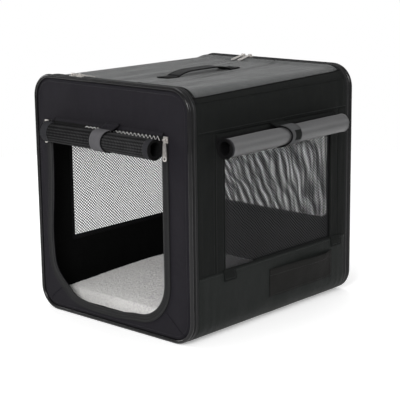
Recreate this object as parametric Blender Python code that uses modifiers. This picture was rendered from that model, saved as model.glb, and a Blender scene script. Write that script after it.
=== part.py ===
"""Folding pet crate: a fabric box held open by two steel hoops and folding bars.

Metres, +Z up. The front face looks along -Y. The origin is on the ground under the
middle of the crate. At rest the crate stands open; the floor creases up and the roof
creases down when it folds, and the front hoop moves straight back to the rear hoop.
"""
import math

import bpy
import bmesh
from mathutils import Matrix, Vector

# Overall size of the box, over the piping
WIDTH = 0.360
LENGTH = 0.420
HEIGHT = 0.410
CORNER_RADIUS = 0.040
CORNER_STEPS = 7
TOUCH_GAP = 0.0003

# Fabric skin
PIPING_RADIUS = 0.0035
PIPING_STANDS_PROUD = 0.0015
FABRIC = 0.002
THIN_FABRIC = 0.0012
ZIP_BAND_WIDTH = 0.010
ROOF_DIP = 0.004
ROOF_HEM = 0.004
ROOF_SAG = 0.005
ROOF_SAG_HALF_WIDTH = 0.125
ROOF_SEAM_ANGLE = math.radians(25)
SEAM_GAP = 0.0008

# Steel frame
HOOP_RADIUS = 0.006
BAR_RADIUS = 0.005
BAR_X = 0.138
BAR_TO_PIVOT_LINE = 0.0005
PIVOT_INSET = 0.042
EYE_RADIUS = 0.0055
EYE_THICKNESS = 0.0026
EYE_REACH = 0.014
BAR_END_INSET = 0.007
PIN_RADIUS = 0.002
PIN_CLEARANCE = 0.0003
PIN_HEAD_RADIUS = 0.0032
PIN_HEAD_THICKNESS = 0.0012
BUTTON_RADIUS = 0.003
BUTTON_LENGTH = 0.0055
BUTTON_STANDS_PROUD = 0.0035
BOSS_RADIUS = 0.005
BOSS_LENGTH = 0.007
BOSS_INTO_BAR = 0.001
BORE_DEPTH = 0.0054
BUTTON_FROM_CREASE = 0.022
PIN_SIDES = 10
EYE_SIDES = 16

# Floor
BOARD_THICKNESS = 0.003
BOARD_HALF_WIDTH = 0.163
BOARD_END_INSET = 0.006
MAT_SIDE_INSET = 0.003
MAT_CROWN = 0.0055
MAT_DOME_STARTS_AT = 0.0155
MAT_EDGE_TOP = 0.018
MAT_WIDEST_AT = 0.0076
MAT_DRAWN_IN = 0.965
MAT_CELLS = 8

# Side windows
WINDOW_REAR = 0.148
WINDOW_FRONT = -0.130
WINDOW_BOTTOM = 0.112
WINDOW_TOP = HEIGHT - 0.090
REAR_WINDOW_HALF_WIDTH = 0.128
REAR_WINDOW_BOTTOM = 0.127
REAR_WINDOW_CORNER_RADIUS = 0.015
NET_HEM = 0.008
NET_THICKNESS = 0.001
NET_COLUMNS = 11
NET_ROWS = 8
NET_STRAND = 0.005

# Rolled flaps and their straps
ROLL_WALL_GAP = 0.0024
ROLL_TURNS = 2.6
ROLL_LAYER_PITCH = 0.0021
ROLL_POINTS_PER_TURN = 18
ROLL_TAIL = 0.020
ROLL_TAIL_BEND = 0.0155
FLAP_ROLL_RADIUS = 0.017
FLAP_ROLL_HEIGHT = WINDOW_TOP - 0.007
FLAP_ROLL_FRONT = -0.150
FLAP_ROLL_REAR = 0.160
REAR_ROLL_HALF_WIDTH = 0.144
DOOR_ROLL_RADIUS = 0.018
DOOR_ROLL_HEIGHT = HEIGHT - 0.092
DOOR_ROLL_LEFT = -0.138
DOOR_ROLL_RIGHT = 0.124
FLAP_STRAP_WIDTH = 0.038
FLAP_STRAP_MIDDLE = 0.010
DOOR_STRAP_WIDTH = 0.040
DOOR_STRAP_MIDDLE = 0.006
STRAP_SEWN_LENGTH = 0.007

# Door opening and its zip
DOOR_LEFT = -0.137
DOOR_RIGHT = 0.120
DOOR_BOTTOM = 0.033
DOOR_TOP = HEIGHT - 0.077
DOOR_LOWER_RADIUS = 0.060
DOOR_UPPER_RADIUS = 0.008
DOOR_TAPE_WIDTH = 0.013

# Pocket on the right wall
POCKET_FRONT = -0.020
POCKET_REAR = 0.150
POCKET_BOTTOM = 0.041
POCKET_TOP = 0.088
POCKET_SPACE = 0.0062

# Carry handle on the roof
HANDLE_WIDTH = 0.025
HANDLE_FRONT = -0.080
HANDLE_REAR = 0.112
HANDLE_THICKNESS = 0.0016
HANDLE_SEWN_LENGTH = 0.024
HANDLE_LIFT = 0.0085

# Zip sliders and pulls
AXLE_RADIUS = 0.00075
AXLE_ABOVE_TAPE = 0.0043
SLIDER_HALF_WIDTH = 0.0042
SLIDER_HALF_LENGTH = 0.0050
SLIDER_TOP_BELOW_AXLE = 0.0019
EAR_INNER = 0.0026
EAR_OUTER = 0.0036
EAR_HALF_LENGTH = 0.0014
PULL_LENGTH = 0.034
PULL_THICKNESS = 0.0012
PULL_NECK_HALF_WIDTH = 0.0021
PULL_SHOULDER_HALF_WIDTH = 0.0030
PULL_END_HALF_WIDTH = 0.0042
PULL_EYE_RADIUS = 0.0016
PULL_TILT = math.radians(12)
PULL_HOLE_SHARE = 0.5
PULL_SHOULDER_PAST_SLIDER = 0.001
SLIDER_X_IN_DOOR_TAPE = 0.010
SLIDER_PAIR_SPACING = 0.016
FRONT_SLIDERS_X = -0.084
REAR_SLIDERS_X = -0.052

# Values worked out from the ones above
HALF_WIDTH = WIDTH / 2
HALF_LENGTH = LENGTH / 2
SKIN_HALF_WIDTH = HALF_WIDTH - PIPING_STANDS_PROUD
SKIN_TOP = HEIGHT - PIPING_STANDS_PROUD
SKIN_RADIUS = CORNER_RADIUS - PIPING_STANDS_PROUD
HOOP_INSET = FABRIC + TOUCH_GAP + HOOP_RADIUS
PIPING_Y = HALF_LENGTH - PIPING_RADIUS
ZIP_OUTER_Y = HALF_LENGTH - 2 * PIPING_RADIUS - TOUCH_GAP
ZIP_INNER_Y = ZIP_OUTER_Y - ZIP_BAND_WIDTH
WALL_END_Y = ZIP_INNER_Y - TOUCH_GAP
HOOP_Y = ZIP_OUTER_Y - HOOP_RADIUS
PIVOT_Y = HALF_LENGTH - PIVOT_INSET
FLOOR_PIVOT_Z = HOOP_INSET
ROOF_PIVOT_Z = SKIN_TOP - HOOP_INSET - ROOF_DIP
PANEL_FRONT_Y = HALF_LENGTH - FABRIC
PANEL_BACK_Y = PANEL_FRONT_Y - FABRIC
PANEL_INSET = 2 * PIPING_RADIUS + TOUCH_GAP
BAR_LIFT = BAR_RADIUS + BAR_TO_PIVOT_LINE
BOARD_BOTTOM_Z = FLOOR_PIVOT_Z + BAR_LIFT + BAR_RADIUS + TOUCH_GAP
BOARD_TOP_Z = BOARD_BOTTOM_Z + BOARD_THICKNESS
BOARD_END_Y = PIVOT_Y - BOARD_END_INSET
INNER_EYE_X = BAR_X
LUG_X = BAR_X - EYE_THICKNESS - TOUCH_GAP
TAB_TOP = 1.8 * BAR_LIFT
CREASE_EYE_X = BAR_X + EYE_THICKNESS + TOUCH_GAP
ROOF_HEM_Y = WALL_END_Y - ROOF_HEM
DOOR_TAPE_FRONT_Y = -(PANEL_FRONT_Y + TOUCH_GAP + THIN_FABRIC)
DOOR_SLIDER_Z = DOOR_TOP - SLIDER_HALF_LENGTH
SIDES = {"left": -1, "right": 1}

BLACK_CLOTH = (0.030, 0.031, 0.032)
FRONT_CLOTH = (0.036, 0.034, 0.041)
LINING_CLOTH = (0.16, 0.16, 0.165)
STRAP_CLOTH = (0.10, 0.10, 0.105)
NET_BLACK = (0.02, 0.02, 0.021)
PIPING_BLACK = (0.028, 0.027, 0.030)
FLEECE = (0.62, 0.60, 0.58)
BOARD_GREY = (0.07, 0.07, 0.07)
STEEL_GREY = (0.45, 0.46, 0.47)
ZIP_METAL = (0.78, 0.77, 0.75)
BUTTON_GREY = (0.12, 0.12, 0.12)


def clear_scene():
    for item in list(bpy.data.objects):
        bpy.data.objects.remove(item)


def new_collection(name):
    collection = bpy.data.collections.new(name)
    bpy.context.scene.collection.children.link(collection)
    return collection


def finish(item, colour, roughness, metallic=0.0):
    """Give an object its own Principled material."""
    material = bpy.data.materials.new(item.name)
    material.use_nodes = True
    shader = material.node_tree.nodes["Principled BSDF"]
    shader.inputs["Base Color"].default_value = (*colour, 1.0)
    shader.inputs["Roughness"].default_value = roughness
    shader.inputs["Metallic"].default_value = metallic
    item.data.materials.clear()
    item.data.materials.append(material)


def link(name, data, collection):
    item = bpy.data.objects.new(name, data)
    collection.objects.link(item)
    return item


def object_from_bmesh(name, shape, collection):
    mesh = bpy.data.meshes.new(name)
    shape.to_mesh(mesh)
    shape.free()
    return link(name, mesh, collection)


def box(name, low, high, collection):
    """A box between two corners."""
    shape = bmesh.new()
    bmesh.ops.create_cube(shape, size=1.0)
    size = Vector(high) - Vector(low)
    middle = (Vector(high) + Vector(low)) / 2
    bmesh.ops.scale(shape, vec=size, verts=shape.verts)
    bmesh.ops.translate(shape, vec=middle, verts=shape.verts)
    return object_from_bmesh(name, shape, collection)


def rod_along_x(name, start_x, end_x, y, z, radius, collection, sides=12):
    """A solid round rod parallel to X."""
    shape = bmesh.new()
    bmesh.ops.create_cone(shape, cap_ends=True, segments=sides, radius1=radius, radius2=radius,
                          depth=abs(end_x - start_x))
    turn = Matrix.Rotation(math.pi / 2, 4, "Y")
    bmesh.ops.transform(shape, matrix=turn, verts=shape.verts)
    bmesh.ops.translate(shape, vec=((start_x + end_x) / 2, y, z), verts=shape.verts)
    return object_from_bmesh(name, shape, collection)


def rod_along_y(name, start_y, end_y, x, z, radius, collection, sides=12):
    """A solid round rod parallel to Y."""
    shape = bmesh.new()
    bmesh.ops.create_cone(shape, cap_ends=True, segments=sides, radius1=radius, radius2=radius,
                          depth=abs(end_y - start_y))
    turn = Matrix.Rotation(math.pi / 2, 4, "X")
    bmesh.ops.transform(shape, matrix=turn, verts=shape.verts)
    bmesh.ops.translate(shape, vec=(x, (start_y + end_y) / 2, z), verts=shape.verts)
    return object_from_bmesh(name, shape, collection)


def baked_mesh(item):
    """The object's evaluated mesh, with loose curve caps welded."""
    bpy.context.view_layer.update()
    evaluated = item.evaluated_get(bpy.context.evaluated_depsgraph_get())
    mesh = bpy.data.meshes.new_from_object(evaluated)
    shape = bmesh.new()
    shape.from_mesh(mesh)
    bmesh.ops.remove_doubles(shape, verts=shape.verts, dist=0.000005)
    shape.to_mesh(mesh)
    shape.free()
    return mesh


def to_mesh_object(item, collection):
    """Turn a curve or modified object into a plain mesh object of the same name."""
    name = item.name
    mesh = baked_mesh(item)
    place = item.matrix_world.copy()
    bpy.data.objects.remove(item)
    plain = link(name, mesh, collection)
    plain.matrix_world = place
    return plain


def combine(base, other, operation, collection):
    """Boolean two mesh objects and keep only the result, under the base's name."""
    change = base.modifiers.new("Boolean", "BOOLEAN")
    change.operation = operation
    change.solver = "EXACT"
    change.object = other
    result = to_mesh_object(base, collection)
    bpy.data.objects.remove(other)
    return result


def arc(centre, radius, start, end, steps):
    """Points along a round arc, both ends included."""
    return [
        (centre[0] + radius * math.cos(start + (end - start) * step / steps),
         centre[1] + radius * math.sin(start + (end - start) * step / steps))
        for step in range(steps + 1)
    ]


def rounded_outline(left, right, bottom, top, lower_radius, upper_radius, steps=CORNER_STEPS):
    """A rounded rectangle as points, anticlockwise from the lower right corner."""
    quarter = math.pi / 2
    points = arc((right - lower_radius, bottom + lower_radius), lower_radius, -quarter, 0, steps)
    points += arc((right - upper_radius, top - upper_radius), upper_radius, 0, quarter, steps)
    points += arc((left + upper_radius, top - upper_radius), upper_radius, quarter, 2 * quarter, steps)
    points += arc((left + lower_radius, bottom + lower_radius), lower_radius, 2 * quarter, 3 * quarter,
                  steps)
    return points


def box_outline(inset):
    """The crate's cross-section at the piping, moved inwards by an inset."""
    return rounded_outline(-HALF_WIDTH + inset, HALF_WIDTH - inset, inset, HEIGHT - inset,
                           CORNER_RADIUS - inset, CORNER_RADIUS - inset)


def skin_outline(inset):
    """The cross-section of the fabric skin, which rests on the ground, moved inwards."""
    radius = SKIN_RADIUS - inset
    return rounded_outline(-SKIN_HALF_WIDTH + inset, SKIN_HALF_WIDTH - inset, inset,
                           SKIN_TOP - inset, radius, radius)


def flat_curve(name, outlines, thickness, collection):
    """A flat plate from an outline and its holes, extruded about its middle plane."""
    curve = bpy.data.curves.new(name, "CURVE")
    curve.dimensions = "2D"
    curve.fill_mode = "BOTH"
    curve.extrude = thickness / 2
    for outline in outlines:
        spline = curve.splines.new("POLY")
        spline.points.add(len(outline) - 1)
        for point, (across, up) in zip(spline.points, outline):
            point.co = (across, up, 0.0, 1.0)
        spline.use_cyclic_u = True
    return link(name, curve, collection)


def plate_across_y(name, outlines, y_low, y_high, collection):
    """A plate whose outline is drawn in X and Z, with its thickness along Y."""
    item = flat_curve(name, outlines, abs(y_high - y_low), collection)
    item.rotation_euler = (math.pi / 2, 0.0, 0.0)
    item.location = (0.0, (y_low + y_high) / 2, 0.0)
    return item


def plate_across_x(name, outlines, x_low, x_high, collection):
    """A plate whose outline is drawn in Y and Z, with its thickness along X."""
    item = flat_curve(name, outlines, abs(x_high - x_low), collection)
    item.rotation_euler = (math.pi / 2, 0.0, math.pi / 2)
    item.location = ((x_low + x_high) / 2, 0.0, 0.0)
    return item


def loop_tube(name, outline, y, radius, resolution, collection):
    """A closed round tube along an outline drawn in X and Z."""
    curve = bpy.data.curves.new(name, "CURVE")
    curve.dimensions = "3D"
    curve.bevel_depth = radius
    curve.bevel_resolution = resolution
    spline = curve.splines.new("POLY")
    spline.points.add(len(outline) - 1)
    for point, (x, z) in zip(spline.points, outline):
        point.co = (x, y, z, 1.0)
    spline.use_cyclic_u = True
    return link(name, curve, collection)


def sheet(name, rows, thickness, collection, skip=None):
    """Fabric of even thickness whose outer face runs through rows of points."""
    shape = bmesh.new()
    grid = [[shape.verts.new(point) for point in row] for row in rows]
    for i in range(len(rows) - 1):
        for j in range(len(rows[i]) - 1):
            if skip and skip(i, j):
                continue
            shape.faces.new((grid[i][j], grid[i + 1][j], grid[i + 1][j + 1], grid[i][j + 1]))
    bmesh.ops.delete(shape, geom=[v for v in shape.verts if not v.link_faces], context="VERTS")
    shape.normal_update()
    middle = Vector((0.0, 0.0, SKIN_TOP / 2))
    first = shape.faces[:][0]
    centre = first.calc_center_median()
    outwards = Vector((centre.x - middle.x, 0.0, centre.z - middle.z))
    if first.normal.dot(outwards) < 0:
        bmesh.ops.reverse_faces(shape, faces=shape.faces)
    item = object_from_bmesh(name, shape, collection)
    thicken = item.modifiers.new("Solidify", "SOLIDIFY")
    thicken.thickness = thickness
    thicken.offset = -1.0
    thicken.use_even_offset = True
    return item


def lathed_pin(name, start_x, end_x, y, z, collection):
    """A rivet along X with a head at each end, turned from its profile."""
    profile = [
        (0.0, end_x), (PIN_HEAD_RADIUS, end_x), (PIN_HEAD_RADIUS, end_x - PIN_HEAD_THICKNESS),
        (PIN_RADIUS, end_x - PIN_HEAD_THICKNESS), (PIN_RADIUS, start_x + PIN_HEAD_THICKNESS),
        (PIN_HEAD_RADIUS, start_x + PIN_HEAD_THICKNESS), (PIN_HEAD_RADIUS, start_x), (0.0, start_x),
    ]
    mesh = bpy.data.meshes.new(name)
    points = [(radius, 0.0, along) for radius, along in profile]
    edges = [(k, k + 1) for k in range(len(points) - 1)]
    mesh.from_pydata(points, edges, [])
    item = link(name, mesh, collection)
    turning = item.modifiers.new("Screw", "SCREW")
    turning.steps = PIN_SIDES
    turning.render_steps = PIN_SIDES
    turning.use_merge_vertices = True
    turning.merge_threshold = 0.00002
    item.rotation_euler = (0.0, math.pi / 2, 0.0)
    item.location = (0.0, y, z)
    return item


def parent_to(item, carrier, offset):
    """Parent an object and keep it where it is; offset is the carrier's world place."""
    item.parent = carrier
    item.matrix_parent_inverse = Matrix.Translation(-Vector(offset))


def joint_empty(name, place, carrier, carrier_place, collection):
    """An empty on a joint's axis, which carries that joint's pieces."""
    empty = link(name, None, collection)
    empty.empty_display_size = 0.02
    empty.location = Vector(place) - Vector(carrier_place)
    empty.parent = carrier
    return empty


def side_wall(side, parts):
    """Side wall with its window, from the bottom fabric's edge up to the roof seam."""
    sign = SIDES[side]
    lower_centre = (SKIN_HALF_WIDTH - SKIN_RADIUS, SKIN_RADIUS)
    upper_centre = (lower_centre[0], SKIN_TOP - SKIN_RADIUS)
    edge_gap = SEAM_GAP / SKIN_RADIUS
    profile = arc(lower_centre, SKIN_RADIUS, -math.pi / 2 + edge_gap, 0, CORNER_STEPS)
    window_bottom_row = len(profile)
    profile += [(SKIN_HALF_WIDTH, WINDOW_BOTTOM), (SKIN_HALF_WIDTH, WINDOW_TOP)]
    profile += arc(upper_centre, SKIN_RADIUS, 0, ROOF_SEAM_ANGLE - edge_gap, 3)
    stations = (-WALL_END_Y, WINDOW_FRONT, WINDOW_REAR, WALL_END_Y)
    rows = [[(sign * x, y, z) for y in stations] for x, z in profile]
    item = sheet("side_wall_" + side, rows, FABRIC, parts,
                 skip=lambda i, j: i == window_bottom_row and j == 1)
    finish(item, BLACK_CLOTH, 0.85)
    return item


def net_gaps(low_y, high_y, low_z, high_z):
    """Staggered diamond gaps that fill a rectangle, one row shifted from the next."""
    pitch_y = (high_y - low_y) / NET_COLUMNS
    pitch_z = (high_z - low_z) / NET_ROWS
    half_y = (pitch_y - NET_STRAND) / 2
    half_z = (pitch_z - NET_STRAND / 2) / 2
    gaps = []
    for row in range(NET_ROWS):
        shifted = row % 2
        for column in range(NET_COLUMNS - shifted):
            y = low_y + pitch_y * (column + 0.5 + 0.5 * shifted)
            z = low_z + pitch_z * (row + 0.5)
            gaps.append([(y - half_y, z), (y, z - half_z), (y + half_y, z), (y, z + half_z)])
    return gaps


def side_mesh(side, parts):
    """Net behind the side window, sewn to the inside of the wall along a hem."""
    sign = SIDES[side]
    low = (WINDOW_FRONT - NET_HEM, WINDOW_BOTTOM - NET_HEM)
    high = (WINDOW_REAR + NET_HEM, WINDOW_TOP + NET_HEM)
    hem = [(low[0], low[1]), (high[0], low[1]), (high[0], high[1]), (low[0], high[1])]
    gaps = net_gaps(WINDOW_FRONT, WINDOW_REAR, WINDOW_BOTTOM, WINDOW_TOP)
    outer_x = SKIN_HALF_WIDTH - FABRIC - TOUCH_GAP
    item = plate_across_x("side_mesh_" + side, [hem] + gaps, sign * (outer_x - NET_THICKNESS),
                          sign * outer_x, parts)
    finish(item, NET_BLACK, 0.7)
    return item


def rear_mesh(parts):
    """Net behind the rear window, sewn to the inside of the rear panel along a hem."""
    half, top = REAR_WINDOW_HALF_WIDTH, WINDOW_TOP
    hem = rounded_outline(-half - NET_HEM, half + NET_HEM, REAR_WINDOW_BOTTOM - NET_HEM, top + NET_HEM,
                          REAR_WINDOW_CORNER_RADIUS, REAR_WINDOW_CORNER_RADIUS)
    gaps = net_gaps(-half, half, REAR_WINDOW_BOTTOM, top)
    outer_y = PANEL_BACK_Y - TOUCH_GAP
    item = plate_across_y("rear_mesh", [hem] + gaps, outer_y - NET_THICKNESS, outer_y, parts)
    finish(item, NET_BLACK, 0.7)
    return item


def roll_centreline(radius, gap):
    """A sheet that comes down off its seam and curls outwards and up into a roll.

    Points are (distance from the wall, height above the roll's middle)."""
    middle = gap + radius
    half = THIN_FABRIC / 2
    points = [(TOUCH_GAP + half, ROLL_TAIL), (gap + half, ROLL_TAIL_BEND)]
    steps = int(ROLL_TURNS * ROLL_POINTS_PER_TURN)
    for step in range(steps + 1):
        angle = math.pi + 2 * math.pi * step / ROLL_POINTS_PER_TURN
        reach = radius - half - ROLL_LAYER_PITCH * step / ROLL_POINTS_PER_TURN
        points.append((middle + reach * math.cos(angle), reach * math.sin(angle)))
    return points


def strap_centreline(radius, gap):
    """A strap sewn above the roll that goes over it, round under it and up behind it."""
    middle = gap + radius
    half = THIN_FABRIC / 2
    reach = radius + TOUCH_GAP + half
    against_wall = TOUCH_GAP + half
    sewn_low = ROLL_TAIL + TOUCH_GAP + THIN_FABRIC
    points = [(against_wall, sewn_low + STRAP_SEWN_LENGTH), (against_wall, sewn_low)]
    start, end, steps = math.radians(98), math.radians(-125), 14
    for step in range(steps + 1):
        angle = start + (end - start) * step / steps
        points.append((middle + reach * math.cos(angle), reach * math.sin(angle)))
    return points


def ribbon_outline(centreline, thickness):
    """The closed outline of a ribbon of even thickness along a centreline."""
    one_side, other_side = [], []
    last = len(centreline) - 1
    for k, (a, b) in enumerate(centreline):
        before = centreline[max(k - 1, 0)]
        after = centreline[min(k + 1, last)]
        run = Vector((after[0] - before[0], after[1] - before[1])).normalized()
        one_side.append((a - run.y * thickness / 2, b + run.x * thickness / 2))
        other_side.append((a + run.y * thickness / 2, b - run.x * thickness / 2))
    return one_side + other_side[::-1]


def side_roll_piece(name, side, centreline, front, rear, parts):
    """A ribbon on the outside of a side wall, level with the flap roll."""
    sign = SIDES[side]
    outline = [(sign * (SKIN_HALF_WIDTH + away), FLAP_ROLL_HEIGHT + up)
               for away, up in ribbon_outline(centreline, THIN_FABRIC)]
    return plate_across_y(name, [outline], front, rear, parts)


def flap_roll(side, parts):
    item = side_roll_piece("flap_roll_" + side, side, roll_centreline(FLAP_ROLL_RADIUS, ROLL_WALL_GAP),
                           FLAP_ROLL_FRONT, FLAP_ROLL_REAR, parts)
    finish(item, LINING_CLOTH, 0.8)
    return item


def flap_strap(side, parts):
    half = FLAP_STRAP_WIDTH / 2
    item = side_roll_piece("flap_strap_" + side, side,
                           strap_centreline(FLAP_ROLL_RADIUS, ROLL_WALL_GAP),
                           FLAP_STRAP_MIDDLE - half, FLAP_STRAP_MIDDLE + half, parts)
    finish(item, STRAP_CLOTH, 0.8)
    return item


def end_roll_piece(name, sign, height, centreline, left, right, parts):
    """A ribbon on the outside of an end panel, level with the roll there."""
    outline = [(sign * (PANEL_FRONT_Y + away), height + up)
               for away, up in ribbon_outline(centreline, THIN_FABRIC)]
    return plate_across_x(name, [outline], left, right, parts)


def door_roll(parts):
    item = end_roll_piece("door_roll", -1, DOOR_ROLL_HEIGHT,
                          roll_centreline(DOOR_ROLL_RADIUS, ROLL_WALL_GAP), DOOR_ROLL_LEFT,
                          DOOR_ROLL_RIGHT, parts)
    finish(item, NET_BLACK, 0.7)
    return item


def door_strap(parts):
    half = DOOR_STRAP_WIDTH / 2
    item = end_roll_piece("door_strap", -1, DOOR_ROLL_HEIGHT,
                          strap_centreline(DOOR_ROLL_RADIUS, ROLL_WALL_GAP), DOOR_STRAP_MIDDLE - half,
                          DOOR_STRAP_MIDDLE + half, parts)
    finish(item, STRAP_CLOTH, 0.8)
    return item


def rear_flap_roll(parts):
    item = end_roll_piece("rear_flap_roll", 1, FLAP_ROLL_HEIGHT,
                          roll_centreline(FLAP_ROLL_RADIUS, ROLL_WALL_GAP), -REAR_ROLL_HALF_WIDTH,
                          REAR_ROLL_HALF_WIDTH, parts)
    finish(item, LINING_CLOTH, 0.8)
    return item


def rear_flap_strap(parts):
    half = FLAP_STRAP_WIDTH / 2
    item = end_roll_piece("rear_flap_strap", 1, FLAP_ROLL_HEIGHT,
                          strap_centreline(FLAP_ROLL_RADIUS, ROLL_WALL_GAP), -half, half, parts)
    finish(item, STRAP_CLOTH, 0.8)
    return item


def roof_height(x, y):
    """Outer face of the roof, which dips inside the zips and lies level under the handle."""
    level = HANDLE_WIDTH / 2
    across = min(max(abs(x) - level, 0.0) / (ROOF_SAG_HALF_WIDTH - level), 1.0)
    along = min(abs(y) / WALL_END_Y, 1.0)
    return SKIN_TOP - roof_dip(y) - ROOF_SAG * (1 - across ** 2) ** 2 * (1 - along ** 2)


def roof_dip(y):
    """The roof drops from its level hems at the zips to that of the bars, between hem and pivot."""
    share = (ROOF_HEM_Y - abs(y)) / (ROOF_HEM_Y - PIVOT_Y)
    return ROOF_DIP * min(max(share, 0.0), 1.0)


def roof_profile(y):
    """Points across the roof at one y, from the left seam to the right one."""
    centre_x = SKIN_HALF_WIDTH - SKIN_RADIUS
    centre_z = SKIN_TOP - SKIN_RADIUS
    steps = 5
    corner = arc((centre_x, centre_z), SKIN_RADIUS, ROOF_SEAM_ANGLE, math.pi / 2, steps)
    right = [(x, z - roof_dip(y) * k / steps) for k, (x, z) in enumerate(corner)]
    flats = [ROOF_SAG_HALF_WIDTH * share for share in (0.75, 0.5, 0.25)] + [HANDLE_WIDTH / 2]
    right += [(x, roof_height(x, y)) for x in flats]
    middle = [(0.0, roof_height(0.0, y))]
    left = [(-x, z) for x, z in right[::-1]]
    return [(x, y, z) for x, z in right + middle + left]


def roof_sheet(name, stations, parts):
    item = sheet(name, [roof_profile(y) for y in stations], FABRIC, parts)
    finish(item, BLACK_CLOTH, 0.8)
    return item


def even_steps(start, end, count):
    return [start + (end - start) * k / count for k in range(count + 1)]


def bottom_skin(parts):
    """Fabric under the crate, which is what it rests on."""
    half = SKIN_HALF_WIDTH - SKIN_RADIUS
    item = box("bottom_skin", (-half, -WALL_END_Y, 0.0), (half, WALL_END_Y, FABRIC), parts)
    finish(item, BLACK_CLOTH, 0.9)
    return item


def hoop(end, sign, parts):
    """A bent steel tube with a lug and a pivot stud welded on for each folding bar."""
    item = loop_tube(end + "_hoop", skin_outline(HOOP_INSET), sign * HOOP_Y, HOOP_RADIUS, 3, parts)
    item = to_mesh_object(item, parts)
    for side in SIDES.values():
        for pivot_z in (FLOOR_PIVOT_Z, ROOF_PIVOT_Z):
            item = combine(item, lug(side * LUG_X, pivot_z, sign, parts), "UNION", parts)
            item = combine(item, stud(side, sign * PIVOT_Y, pivot_z, parts), "UNION", parts)
    finish(item, STEEL_GREY, 0.35, 1.0)
    return item


def piping(end, sign, parts):
    item = loop_tube(end + "_piping", box_outline(PIPING_RADIUS), sign * PIPING_Y, PIPING_RADIUS, 2,
                     parts)
    finish(item, PIPING_BLACK, 0.5)
    return item


def zip_band(end, sign, parts):
    """The zip that runs right round a hoop, between the piping and the walls."""
    item = plate_across_y(end + "_zip", [skin_outline(0.0), skin_outline(FABRIC)],
                          sign * ZIP_INNER_Y, sign * ZIP_OUTER_Y, parts)
    finish(item, NET_BLACK, 0.6)
    return item


def door_outline(outwards):
    """The door opening, a U with a straight top, moved outwards."""
    return rounded_outline(DOOR_LEFT - outwards, DOOR_RIGHT + outwards, DOOR_BOTTOM - outwards,
                           DOOR_TOP + outwards, DOOR_LOWER_RADIUS + outwards,
                           DOOR_UPPER_RADIUS + outwards)


def rear_window_outline():
    half, radius = REAR_WINDOW_HALF_WIDTH, REAR_WINDOW_CORNER_RADIUS
    return rounded_outline(-half, half, REAR_WINDOW_BOTTOM, WINDOW_TOP, radius, radius)


def end_panel(end, sign, holes, colour, parts):
    item = plate_across_y(end + "_panel", [box_outline(PANEL_INSET)] + holes, sign * PANEL_BACK_Y,
                          sign * PANEL_FRONT_Y, parts)
    finish(item, colour, 0.85)
    return item


def door_zip(parts):
    """The zip tape down both sides of the door opening and along its bottom."""
    lower, outer = DOOR_LOWER_RADIUS, DOOR_LOWER_RADIUS + DOOR_TAPE_WIDTH
    right_middle = (DOOR_RIGHT - lower, DOOR_BOTTOM + lower)
    left_middle = (DOOR_LEFT + lower, DOOR_BOTTOM + lower)
    quarter = math.pi / 2
    outline = [(DOOR_RIGHT, DOOR_TOP), (DOOR_RIGHT + DOOR_TAPE_WIDTH, DOOR_TOP)]
    outline += arc(right_middle, outer, 0, -quarter, CORNER_STEPS)
    outline += arc(left_middle, outer, -quarter, -2 * quarter, CORNER_STEPS)
    outline += [(DOOR_LEFT - DOOR_TAPE_WIDTH, DOOR_TOP), (DOOR_LEFT, DOOR_TOP)]
    outline += arc(left_middle, lower, -2 * quarter, -quarter, CORNER_STEPS)
    outline += arc(right_middle, lower, -quarter, 0, CORNER_STEPS)
    item = plate_across_y("door_zip", [outline], DOOR_TAPE_FRONT_Y, -PANEL_FRONT_Y - TOUCH_GAP, parts)
    finish(item, NET_BLACK, 0.6)
    return item


def disc_outline(y, z, radius, steps):
    return arc((y, z), radius, 0, 2 * math.pi * (steps - 1) / steps, steps - 1)


def lug(x, pivot_z, sign, parts):
    """A plate from a hoop's tube to the end pivot of one bar."""
    round_end = arc((PIVOT_Y, pivot_z), EYE_RADIUS, math.pi / 2, 3 * math.pi / 2, 8)
    outline = [(sign * y, z) for y, z in round_end]
    outline += [(sign * HOOP_Y, pivot_z - EYE_RADIUS), (sign * HOOP_Y, pivot_z + EYE_RADIUS)]
    half = EYE_THICKNESS / 2
    plate = plate_across_x("lug_plate", [outline], x - half, x + half, parts)
    return to_mesh_object(plate, parts)


def stud(side, y, pivot_z, parts):
    """A headed stud from the middle of a lug through the eye of a bar."""
    eye_face = INNER_EYE_X + EYE_THICKNESS / 2 + TOUCH_GAP
    shank = rod_along_x("stud", side * LUG_X, side * (eye_face + PIN_HEAD_THICKNESS / 2), y, pivot_z,
                        PIN_RADIUS, parts)
    head = rod_along_x("stud_head", side * eye_face, side * (eye_face + PIN_HEAD_THICKNESS), y, pivot_z,
                       PIN_HEAD_RADIUS, parts)
    return combine(shank, head, "UNION", parts)


def crease_pin(name, side, pivot_z, parts):
    """A rivet through the two bar eyes at a crease."""
    reach = EYE_THICKNESS / 2 + TOUCH_GAP + PIN_HEAD_THICKNESS
    ends = sorted((side * (INNER_EYE_X - reach), side * (CREASE_EYE_X + reach)))
    item = lathed_pin(name, ends[0], ends[1], 0.0, pivot_z, parts)
    finish(item, STEEL_GREY, 0.3, 1.0)
    return item


def eye(x, pivot_y, pivot_z, into_bar, lift, parts):
    """A flat bar end: a round eye on the pivot and a tab that reaches into the bar."""
    half = EYE_THICKNESS / 2
    hole = disc_outline(pivot_y, pivot_z, PIN_RADIUS + PIN_CLEARANCE, PIN_SIDES)
    round_plate = disc_outline(pivot_y, pivot_z, EYE_RADIUS, EYE_SIDES)
    disc = to_mesh_object(plate_across_x("eye", [round_plate, hole], x - half, x + half, parts), parts)
    tab_start = PIN_RADIUS + 2 * PIN_CLEARANCE
    ys = sorted((pivot_y + into_bar * tab_start, pivot_y + into_bar * EYE_REACH))
    zs = sorted((pivot_z + lift * TOUCH_GAP, pivot_z + lift * TAB_TOP))
    tab = box("eye_tab", (x - half, ys[0], zs[0]), (x + half, ys[1], zs[1]), parts)
    return combine(disc, tab, "UNION", parts)


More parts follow.
